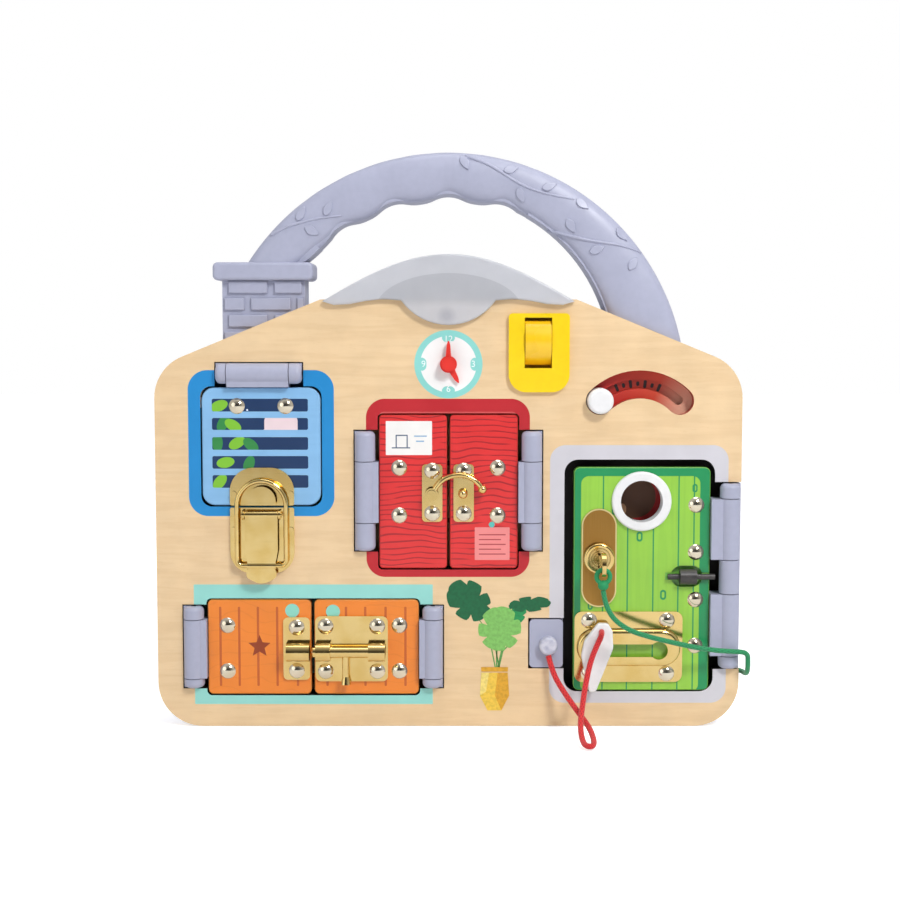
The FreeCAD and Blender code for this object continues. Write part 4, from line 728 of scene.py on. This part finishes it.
def cordPoints(name, route):
    # the smooth line through a route, as a run of close points
    curve = bpy.data.curves.new(name, "CURVE")
    curve.dimensions = "3D"
    curve.resolution_u = 12
    line = curve.splines.new("NURBS")
    line.points.add(len(route) - 1)
    for point, place in zip(line.points, route):
        point.co = (*place, 1.0)
    line.order_u = 3
    line.use_endpoint_u = True
    holder = bpy.data.objects.new(name, curve)
    bpy.context.scene.collection.objects.link(holder)
    bpy.context.view_layer.update()
    mesh = bpy.data.meshes.new_from_object(holder)
    points = [v.co.copy() for v in mesh.vertices]
    bpy.data.objects.remove(holder)
    return points


def runLength(points):
    return sum((b - a).length for a, b in zip(points, points[1:]))


def cutRuns(points, shares):
    # the run cut into pieces whose lengths are the given shares
    total = runLength(points)
    runs = []
    current = [points[0]]
    travelled = 0.0
    goals = [sum(shares[:index + 1]) * total for index in range(len(shares))]
    for a, b in zip(points, points[1:]):
        travelled += (b - a).length
        current.append(b)
        if len(runs) < len(shares) - 1 and travelled >= goals[len(runs)]:
            runs.append(current)
            current = [b]
    runs.append(current)
    return runs


def clearSelection():
    for piece in bpy.context.selected_objects:
        piece.select_set(False)


def toMesh(piece):
    clearSelection()
    piece.select_set(True)
    bpy.context.view_layer.objects.active = piece
    bpy.ops.object.convert(target="MESH")
    return bpy.context.view_layer.objects.active


def tube(name, points, radius, material, steps=6, taper=None):
    curve = bpy.data.curves.new(name, "CURVE")
    curve.dimensions = "3D"
    curve.bevel_depth = radius
    curve.bevel_resolution = steps
    curve.use_fill_caps = True
    line = curve.splines.new("POLY")
    line.points.add(len(points) - 1)
    for index, (point, place) in enumerate(zip(line.points, points)):
        point.co = (*place, 1.0)
        if taper:
            point.radius = taper(index / (len(points) - 1))
    line.use_smooth = True
    piece = bpy.data.objects.new(name, curve)
    bpy.context.scene.collection.objects.link(piece)
    piece = toMesh(piece)
    piece.data.materials.clear()
    piece.data.materials.append(material)
    return piece


def cordMaterial(name, settings, shade, length):
    # round-braided yarn: crossed ribs that follow the cord's own map, with painted shade in the grooves
    # between them
    made, tree, shader, point = start(name)
    flat = split(tree, tree.nodes.new("ShaderNodeTexCoord").outputs["UV"])
    around = calc(tree, "MULTIPLY", flat[1], 2 * math.pi * settings["plaits"])
    along = calc(tree, "MULTIPLY", flat[0], length * 2 * math.pi / settings["strand"])
    first = calc(tree, "SINE", calc(tree, "ADD", along, around))
    second = calc(tree, "SINE", calc(tree, "SUBTRACT", along, around))
    braid = calc(tree, "MULTIPLY_ADD", calc(tree, "MAXIMUM", first, second), 0.5, 0.5)
    fuzz = noise(tree, point, settings["fuzz"], 4.0)
    height = calc(tree, "MULTIPLY_ADD", fuzz, settings["fuzzTone"], braid)
    # painted shade: the grooves between the ribs are darkened by the shadow share
    feed(shader, "Base Color", overlay(tree, braid, shaded(shade, settings["shadow"]), shade))
    feed(shader, "Roughness", settings["rough"])
    feed(shader, "Sheen Weight", settings["sheen"])
    feed(shader, "Normal", bumped(tree, settings["strength"], settings["bump"], height))
    return made


def makeCords():
    redRuns = cutRuns(cordPoints("red line", redRoute), [0.5, 0.5])
    greenRuns = cutRuns(cordPoints("green line", list(reversed(greenRoute))), [0.5, 0.25, 0.25])
    plans = [("red_cord_knob_side", "red", redRuns[0], ("root", "green_door"), []),
             ("red_cord_slider_side", "red", redRuns[1], ("green_door", "chain_slider"), []),
             ("green_cord_hinge_side", "green", greenRuns[0], ("root", "green_door"), []),
             ("green_cord_middle", "green", greenRuns[1], ("green_door", "lock_plug"), []),
             ("green_cord_key_side", "green", greenRuns[2], ("lock_plug", "door_key"), ["key_cord_loop"])]
    for name, colour, run, bodies, onIt in plans:
        settings = cordSettings[colour]
        length = runLength(run)
        finish = cordMaterial(name + " yarn", settings, finishes[colour + "_cord"]["colour"], length * 1000)
        piece = tube(name, run, settings["radius"], finish)
        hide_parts(*(["red_cord"] if colour == "red" else ["green_cord", "green_cord_end"]))
        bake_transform(piece)
    print("cords laid", len(plans))


makeCords()


# Flat outlines made into thin pieces
def inMetres(points):
    return [(x * mm, z * mm) for x, z in points]


def deep(y):
    # the place of a flat piece at one depth, in millimetres
    return Vector((0, y, 0)) * mm


def flatShape(name, points, material, thick, place, bodyName, edge=0.0, holes=()):
    # a flat curve made a mesh, facing forward
    curve = bpy.data.curves.new(name, "CURVE")
    curve.dimensions = "2D"
    curve.fill_mode = "BOTH"
    curve.extrude = thick / 2
    curve.bevel_depth = edge
    curve.bevel_resolution = 3
    curve.offset = -edge
    for outline in [points, *holes]:
        line = curve.splines.new("POLY")
        line.points.add(len(outline) - 1)
        for point, (x, z) in zip(line.points, outline):
            point.co = (x, z, 0.0, 1.0)
        line.use_cyclic_u = True
    piece = bpy.data.objects.new(name, curve)
    bpy.context.scene.collection.objects.link(piece)
    piece = toMesh(piece)
    piece.data.transform(Matrix.Translation(place) @ Matrix.Rotation(math.pi / 2, 4, "X"))
    piece.data.materials.clear()
    piece.data.materials.append(material)
    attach(piece, bodyName)
    return piece


# Rounded crown of the handle, over its flat moulded front
crownSettings = {
    "z": 172.4, "outer": 122.5, "valley": 101.2, "middle": 99.65, "pitch": 16.7, "first": -33.4, "last": 16.7,
    "knots": [(-60, 101.2), (-37.6, 99.65), (20.9, 99.65), (41, 95.8), (66, 89.9), (84, 88.0)],
    "from": -60.0, "to": 82.0, "steps": 150, "y": -3.5, "round": 10.0, "rise": 10.7, "sink": 0.2,
    "around": 14, "smooth": 40, "capX": -90.0, "capTop": 234.0, "capWay": (0.2, 0, 0.98), "capTo": -50.0,
    "roofFrom": 50.0,
}


def gripRadius(s, turn):
    reach = s["pitch"] / 4
    if s["first"] - reach <= turn <= s["last"] + reach:
        swing = math.cos(2 * math.pi * (turn - s["first"]) / s["pitch"])
        return s["middle"] + (s["valley"] - s["middle"]) * swing
    for (low, first), (high, last) in zip(s["knots"], s["knots"][1:]):
        if turn <= high:
            return first + (last - first) * (turn - low) / (high - low)
    return s["knots"][-1][1]


def crownRise(s, height):
    # the height of a half round, pressed down to the crown's own
    return s["rise"] * (1 - math.exp(-height / s["round"]))


def crownY(s, x, z):
    # depth of the crown's surface, in millimetres
    away = math.hypot(x, z - s["z"])
    inner = gripRadius(s, math.degrees(math.atan2(x, z - s["z"])))
    half = (s["outer"] - inner) / 2
    off = min(1.0, abs(away - (s["outer"] + inner) / 2) / half)
    return s["y"] - crownRise(s, half * math.sqrt(1 - off * off))


def cutAway(piece, place, way, fromX=-math.inf, toX=math.inf):
    # cut off what lies behind a plane, between two places along X
    clearSelection()
    piece.select_set(True)
    bpy.context.view_layer.objects.active = piece
    bpy.ops.object.mode_set(mode="EDIT")
    bpy.ops.mesh.select_all(action="DESELECT")
    bpy.ops.object.mode_set(mode="OBJECT")
    mesh = piece.data
    for face in mesh.polygons:
        face.select = all(fromX < mesh.vertices[index].co.x < toX for index in face.vertices)
    bpy.ops.object.mode_set(mode="EDIT")
    bpy.ops.mesh.bisect(plane_co=place, plane_no=way, use_fill=True, clear_inner=True)
    bpy.ops.object.mode_set(mode="OBJECT")


def cutAtRoof(piece, side, fromX=-math.inf):
    # side is 1 for the right slope and -1 for the left
    place = (side * roof["half"] * mm, 0, roof["eave"] * mm)
    cutAway(piece, place, (side * math.sin(roof["slope"]), 0, math.cos(roof["slope"])), fromX)


def makeCrown(s):
    turns = [s["from"] + (s["to"] - s["from"]) * step / s["steps"] for step in range(s["steps"] + 1)]
    halves = [(s["outer"] - gripRadius(s, turn)) / 2 for turn in turns]
    line = []
    for turn, half in zip(turns, halves):
        away = s["outer"] - half
        angle = math.radians(turn)
        line.append(Vector((away * math.sin(angle), s["y"], s["z"] + away * math.cos(angle))) * mm)
    piece = tube("handle_crown", line, mm, coats["grey_plastic"], s["around"],
                 lambda t: halves[round(t * s["steps"])])
    for vertex in piece.data.vertices:
        rise = s["y"] - vertex.co.y / mm
        pressed = crownRise(s, rise) if rise > 0 else s["sink"] * rise
        vertex.co.y = (s["y"] - pressed) * mm
    cutAway(piece, (s["capX"] * mm, 0, s["capTop"] * mm), s["capWay"], toX=s["capTo"] * mm)
    cutAtRoof(piece, 1, s["roofFrom"] * mm)
    clearSelection()
    piece.select_set(True)
    bpy.ops.object.shade_smooth_by_angle(angle=math.radians(s["smooth"]))
    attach(piece, "root")


makeCrown(crownSettings)


# Chimney's cap and raised bricks
chimneySettings = {
    "left": -115.8, "right": -73.4, "over": 4.4, "capLow": 229.8, "capHigh": 239.0, "capRound": 2.6,
    "capY": -5.6, "capThick": 9.0, "capEdge": 1.6, "brickY": -8.0, "brickThick": 0.6, "brickEdge": 0.5,
    "brickRound": 0.6, "height": 6.2, "joint": 2.4, "shrink": 0.15, "drop": 0.3, "above": 1, "rows": 4,
    "even": [(0.075, 0.55), (0.63, 0.965)], "odd": [(0.025, 0.27), (0.345, 0.83), (0.905, 0.985)],
}


def roundedBox(left, right, low, high, radius, steps=6):
    points = []
    for x, z, first in [(right - radius, high - radius, 0), (left + radius, high - radius, 1),
                        (left + radius, low + radius, 2), (right - radius, low + radius, 3)]:
        for step in range(steps + 1):
            turn = math.pi / 2 * (first + step / steps)
            points.append(((x + radius * math.cos(turn)) * mm, (z + radius * math.sin(turn)) * mm))
    return points


def makeChimney(s):
    grey = coats["grey_plastic"]
    outline = roundedBox(s["left"] - s["over"], s["right"] + s["over"], s["capLow"], s["capHigh"],
                         s["capRound"])
    cap = flatShape("chimney_cap", outline, grey, s["capThick"] * mm, deep(s["capY"]), "root",
                    s["capEdge"] * mm)
    width = s["right"] - s["left"]
    number = 0
    for row in range(s["rows"]):
        top = s["capLow"] - s["drop"] - row * (s["height"] + s["joint"])
        for low, high in s["odd"] if row % 2 else s["even"]:
            left = s["left"] + low * width
            right = s["left"] + high * width
            if top < roof["eave"] + (roof["half"] + left) * math.tan(roof["slope"]) + s["above"]:
                continue
            number += 1
            outline = roundedBox(left + s["shrink"], right - s["shrink"], top - s["height"], top,
                                 s["brickRound"], 3)
            brick = flatShape("chimney_brick_" + str(number), outline, grey, s["brickThick"] * mm,
                              deep(s["brickY"]), "root", s["brickEdge"] * mm)
            cutAtRoof(brick, -1)


makeChimney(chimneySettings)
print("handle crown and chimney made")


# Vines in relief on the front of the handle
vineSettings = {
    "radius": 0.95, "around": 4, "taper": 0.45, "leafLength": 8.2, "leafWidth": 4.4, "leafThick": 0.9,
    "leafEdge": 0.4,
    "stems": [[(-90.0, 253.0), (-84.0, 256.5), (-78.3, 258.1), (-66.0, 261.4), (-54.5, 262.5)],
              [(8.4, 292.8), (16.0, 290.4), (24.2, 286.2), (36.0, 278.3), (49.7, 273.0), (64.0, 270.9)],
              [(51.3, 255.1), (64.0, 251.5), (76.8, 249.0), (89.5, 247.4), (98.4, 243.9)]],
    "leaves": [(-61.1, 266.2, 65), (-69.5, 254.8, -30), (-75.0, 263.6, 60), (8.3, 289.4, -65),
               (36.7, 272.7, -70), (51.4, 277.4, 20), (68.0, 268.5, -40), (62.2, 257.3, -60),
               (88.3, 253.1, -50), (75.5, 245.3, 20), (94.1, 238.4, 55), (31.9, 286.0, 15)],
}


def leafPoints(length, width, angle, count=14):
    turn = math.radians(angle)
    points = []
    for index in range(2 * count):
        share = index / count if index < count else 2 - index / count
        side = 1 if index < count else -1
        across = side * width / 2 * math.sin(math.pi * share ** 0.8) ** 0.9 if 0 < share < 1 else 0.0
        along = (share - 0.5) * length
        points.append(((along * math.cos(turn) - across * math.sin(turn)) * mm,
                       (along * math.sin(turn) + across * math.cos(turn)) * mm))
    return points


def makeVines(s):
    grey = coats["grey_plastic"]
    for number, stem in enumerate(s["stems"]):
        line = cordPoints("vine line", [(x * mm, 0, z * mm) for x, z in stem])
        for spot in line:
            spot.y = crownY(crownSettings, spot.x / mm, spot.z / mm) * mm
        piece = tube("vine_stem_" + str(number + 1), line, s["radius"] * mm, grey, s["around"],
                     lambda t: 1.0 - s["taper"] * t)
        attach(piece, "root")
    for number, (x, z, angle) in enumerate(s["leaves"]):
        points = leafPoints(s["leafLength"], s["leafWidth"], angle)
        place = Vector((x, 0, z)) * mm
        piece = flatShape("vine_leaf_" + str(number + 1), points, grey, s["leafThick"] * mm, place, "root",
                          s["leafEdge"] * mm)
        for vertex in piece.data.vertices:
            vertex.co.y += crownY(crownSettings, vertex.co.x / mm, vertex.co.z / mm) * mm


makeVines(vineSettings)
print("vines made")


# Rounded corners of the wells, which the wood fills
cornerSettings = {
    "low": -15.0, "high": -8.0, "steps": 8,
    "wells": [(-126.6, -64.6, 114.3, 176.0, 5.6), (-36.15, 36.15, 81.7, 162.1, 2.4),
              (-124.7, -14.6, 16.1, 66.8, 2.6), (59.4, 136.5, 18.2, 138.5, 7.0)],
}


def makeCorners(s):
    number = 0
    place = deep((s["low"] + s["high"]) / 2)
    for left, right, low, high, radius in s["wells"]:
        corners = [(left, low, 1, 1), (right, low, -1, 1), (right, high, -1, -1), (left, high, 1, -1)]
        for x, z, toX, toZ in corners:
            number += 1
            points = [(x * mm, z * mm)]
            for step in range(s["steps"] + 1):
                turn = math.pi / 2 * step / s["steps"]
                points.append(((x + toX * radius * (1 - math.sin(turn))) * mm,
                               (z + toZ * radius * (1 - math.cos(turn))) * mm))
            piece = flatShape("well_corner_" + str(number), points, coats["panel_wood"],
                              (s["high"] - s["low"]) * mm, place, "root")


makeCorners(cornerSettings)


# Printed strip seen through the arc slider's groove
backingSettings = {"x": 97.7, "z": 147.8, "inner": 24.5, "outer": 33.7, "angle": 50.0, "y": -4.4,
                   "thick": 0.3, "steps": 24}


def makeBacking(s):
    turns = [math.radians(-s["angle"] + 2 * s["angle"] * step / s["steps"]) for step in range(s["steps"] + 1)]
    rim = [(s["outer"], turn) for turn in turns] + [(s["inner"], turn) for turn in reversed(turns)]
    points = [(s["x"] + away * math.sin(turn), s["z"] + away * math.cos(turn)) for away, turn in rim]
    printed = nodes["arc_track_plate"].data.materials[0]
    piece = flatShape("arc_track_backing", inMetres(points), printed, s["thick"] * mm, deep(s["y"]), "root")


makeBacking(backingSettings)
print("wells and track finished")


# Milky cap on the roof, in layers: a face with a round lobe, a hollow middle and a back
capSettings = {
    "half": 64.0, "foot": 219.0, "rise": 23.8, "roof": 220.1, "inset": 2.2, "lip": 0.2, "edge": 0.9,
    "steps": 40, "lobeHalf": 24.0, "lobeTop": 219.5, "lobeRadius": 29.4, "lobeSteps": 16,
    "wave": [(58.0, 217.2), (50.0, 217.6), (42.0, 219.2), (33.0, 220.2)],
    "hole": [(-30.0, 220.6), (30.0, 220.6), (12.0, 235.0), (-12.0, 235.0)],
    "layers": [("face", -18.4, -15.0, False), ("middle", -15.0, 12.0, True), ("back", 12.0, 14.5, False)],
}


def capOutline(s, name):
    half = s["half"] if name == "face" else s["half"] - s["inset"]
    lowest = s["foot"] if name == "face" else s["roof"] + s["lip"]
    points = []
    for step in range(s["steps"] + 1):
        x = half * (1 - 2 * step / s["steps"])
        z = s["foot"] + s["rise"] * math.cos(math.pi * x / (2 * s["half"]))
        points.append((x, max(z, lowest)))
    if name != "face":
        return points + [(-half, s["roof"]), (half, s["roof"])]
    points += [(-x, z) for x, z in s["wave"]]
    reach = math.asin(s["lobeHalf"] / s["lobeRadius"])
    centre = s["lobeTop"] + s["lobeRadius"] * math.cos(reach)
    for step in range(s["lobeSteps"] + 1):
        turn = -reach + 2 * reach * step / s["lobeSteps"]
        points.append((s["lobeRadius"] * math.sin(turn), centre - s["lobeRadius"] * math.cos(turn)))
    return points + [(x, z) for x, z in reversed(s["wave"])]


def makeCap(s):
    for name, low, high, hollow in s["layers"]:
        outline = inMetres(capOutline(s, name))
        holes = [inMetres(s["hole"])] if hollow else []
        edge = s["edge"] if name == "face" else 0.0
        piece = flatShape("light_lens_" + name, outline, coats["lens_plastic"], (high - low - 2 * edge) * mm,
                          deep((low + high) / 2), "root", edge * mm, holes)
        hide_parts("light_lens")


makeCap(capSettings)
print("cap made")


# Clock numerals, star and the potted plant, as thin prints on the wood
printThick = 0.04
printY = frontY - printThick / 2


def makeNumerals(s):
    finish = plain("numeral ink", {"colour": s["ink"], "rough": 0.5, "depth": 0.05})
    for text, angle in s["hours"]:
        clearSelection()
        bpy.ops.object.text_add()
        piece = bpy.context.object
        piece.name = "numeral_" + text
        piece.data.body = text
        piece.data.align_x = "CENTER"
        piece.data.align_y = "CENTER"
        piece.data.size = s["numeral"] * mm
        piece.data.extrude = printThick / 2 * mm
        piece = toMesh(piece)
        x = s["x"] + s["ring"] * math.cos(math.radians(angle))
        z = s["z"] + s["ring"] * math.sin(math.radians(angle))
        place = Vector((x, printY, z)) * mm
        piece.data.transform(Matrix.Translation(place) @ Matrix.Rotation(math.pi / 2, 4, "X"))
        piece.data.materials.clear()
        piece.data.materials.append(finish)
        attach(piece, "root")


starSettings = {"x": -97.5, "z": 41.7, "radius": 6.0, "inner": 0.45, "tips": 5, "shade": rgb(150, 62, 22)}


def makeStar(s):
    finish = plain("star ink", {"colour": s["shade"], "rough": 0.4, "depth": 0.06})
    points = []
    for index in range(2 * s["tips"]):
        radius = s["radius"] * (s["inner"] if index % 2 else 1.0) * mm
        turn = math.radians(90 + 180 * index / s["tips"])
        points.append((radius * math.cos(turn), radius * math.sin(turn)))
    place = Vector((s["x"], printY, s["z"])) * mm
    flatShape("door_star", points, finish, printThick * mm, place, "orange_left")


makeNumerals(clockSettings)
makeStar(starSettings)


plantSettings = {
    "shades": {"dark": rgb(18, 104, 62), "mid": rgb(34, 150, 84), "light": rgb(132, 198, 100),
               "stem": rgb(96, 160, 80), "vase": rgb(244, 204, 74), "vaseDark": rgb(226, 168, 44),
               "vaseLight": rgb(252, 228, 128)},
    "fade": 0.8, "base": (24.0, 30.0), "baseStep": 0.5,
    "tips": [(12, 60), (25, 45), (38, 60), (32, 44), (20, 46)], "stemWide": 0.7, "stemDrop": 0.2,
    "long": 1.5, "wide": 1.2, "lobes": 7, "cut": 0.42, "tipPull": 0.22, "layer": 0.02, "vaseLayer": 7,
    "leaves": [("mid", 33.0, 57.0, 40, 9.0, 8.0), ("dark", 12.5, 64.0, 140, 16.5, 16.0),
               ("light", 26.0, 48.5, 80, 15.5, 18.0), ("dark", 39.5, 63.5, 5, 14.5, 6.5)],
    "facets": [("vase", [(17.0, 28.0), (30.6, 28.0), (31.4, 16.0), (27.4, 8.2), (20.2, 8.2), (16.2, 16.0)]),
               ("vaseDark", [(25.4, 28.0), (30.6, 28.0), (31.4, 16.0), (27.4, 8.2), (24.0, 16.0)]),
               ("vaseLight", [(17.0, 28.0), (21.0, 28.0), (19.4, 18.0), (16.2, 16.0)]),
               ("vaseDark", [(16.8, 30.9), (30.8, 30.9), (30.6, 28.6), (17.0, 28.6)])],
}


def lobedLeaf(s, length, width, angle, count=72):
    # a leaf with cut lobes, from one formula
    turn = math.radians(angle)
    points = []
    for index in range(count):
        around = 2 * math.pi * index / count
        cutDepth = max(0.0, math.sin(s["lobes"] * around)) ** 4 * s["cut"]
        tip = 1.0 + s["tipPull"] * math.cos(around)
        reach = tip * (1 - cutDepth * (1 - abs(math.cos(around)) ** 3))
        x = length / 2 * reach * math.cos(around)
        z = width / 2 * reach * math.sin(around)
        points.append((x * math.cos(turn) - z * math.sin(turn), x * math.sin(turn) + z * math.cos(turn)))
    return inMetres(points)


def makePlant(s):
    inks = {}
    for name, shade in s["shades"].items():
        inks[name] = plain("plant " + name, {"colour": shade, "rough": 0.45, "depth": 0.06, "patch": 0.6,
                                             "second": shaded(shade, s["fade"])})
    thick = printThick * mm
    for number, (tipX, tipZ) in enumerate(s["tips"]):
        base = (s["base"][0] + s["baseStep"] * number, s["base"][1])
        middle = ((base[0] * 2 + tipX) / 3, (base[1] + tipZ * 2) / 3)
        left = [base, middle, (tipX, tipZ)]
        right = [(x + s["stemWide"], z - s["stemDrop"]) for x, z in reversed(left)]
        points = inMetres(left + right)
        flatShape("plant_stem_" + str(number + 1), points, inks["stem"], thick, deep(printY), "root")
    for number, (shade, x, z, angle, length, width) in enumerate(s["leaves"]):
        points = lobedLeaf(s, length * s["long"], width * s["wide"], angle)
        place = Vector((x, printY - s["layer"] * (number + 1), z)) * mm
        flatShape("plant_leaf_" + str(number + 1), points, inks[shade], thick, place, "root")
    for number, (shade, outline) in enumerate(s["facets"]):
        place = deep(printY - s["layer"] * (number + s["vaseLayer"]))
        flatShape("vase_facet_" + str(number + 1), inMetres(outline), inks[shade], thick, place, "root")


makePlant(plantSettings)
print("prints made")


# Floor, backdrop and soft light
stageSettings = {
    "half": 4.0, "drop": 0.0004, "glow": 0.62, "rough": 0.9, "floor": rgb(226, 226, 228),
    "cloud": rgb(246, 246, 247), "cloudScale": 0.01, "soft": (0.96, 0.96, 1.0, 1.0), "frontFrom": -0.95,
    "frontTo": -0.5, "frontLevel": 0.06, "level": 0.58,
}
lamps = [
    {"name": "key", "place": (0.55, -0.95, 1.0), "aim": (0, 0, 0.14), "size": 0.35, "power": 11.5},
    {"name": "fill", "place": (-0.9, -0.9, 0.4), "aim": (0, 0, 0.14), "size": 0.9, "power": 2.2},
    {"name": "top", "place": (0.1, -0.1, 1.2), "aim": (0, 0, 0.2), "size": 0.7, "power": 2.8},
]


def makeStage(s):
    clearSelection()
    bpy.ops.mesh.primitive_plane_add(size=2 * s["half"], location=(0, 0, -s["drop"]))
    floor = bpy.context.object
    floor.name = "floor"
    finish, tree, shader, point = start("pale floor")
    feed(shader, "Base Color", overlay(tree, noise(tree, point, s["cloudScale"]), s["floor"], s["cloud"]))
    feed(shader, "Roughness", s["rough"])
    feed(shader, "Emission Color", (1, 1, 1, 1))
    seen = tree.nodes.new("ShaderNodeLightPath").outputs["Is Camera Ray"]
    feed(shader, "Emission Strength", calc(tree, "MULTIPLY", seen, s["glow"]))
    floor.data.materials.append(finish)


def areaLight(s):
    data = bpy.data.lights.new(s["name"], "AREA")
    data.shape = "DISK"
    data.size = s["size"]
    data.energy = s["power"]
    lamp = bpy.data.objects.new(s["name"], data)
    bpy.context.scene.collection.objects.link(lamp)
    lamp.location = s["place"]
    lamp.rotation_euler = (Vector(s["aim"]) - Vector(s["place"])).to_track_quat("-Z", "Y").to_euler()


def makeWorld(s):
    # white to the camera; on the object a soft light that is weaker from the front
    world = bpy.data.worlds.new("studio")
    bpy.context.scene.world = world
    world.use_nodes = True
    tree = world.node_tree
    tree.nodes.clear()
    seen = tree.nodes.new("ShaderNodeLightPath").outputs["Is Camera Ray"]
    way = split(tree, tree.nodes.new("ShaderNodeTexCoord").outputs["Generated"])
    level = spread(tree, way[1], s["frontFrom"], s["frontTo"], s["frontLevel"], s["level"])
    soft = put(tree, "ShaderNodeBackground", {0: s["soft"], 1: level})
    white = put(tree, "ShaderNodeBackground", {0: (1, 1, 1, 1), 1: 1.0})
    both = put(tree, "ShaderNodeMixShader", {0: seen, 1: soft.outputs[0], 2: white.outputs[0]})
    out = tree.nodes.new("ShaderNodeOutputWorld")
    tree.links.new(both.outputs[0], out.inputs[0])


makeStage(stageSettings)
makeWorld(stageSettings)
for lamp in lamps:
    areaLight(lamp)
bpy.context.scene.view_settings.view_transform = "Standard"
print("stage lit")
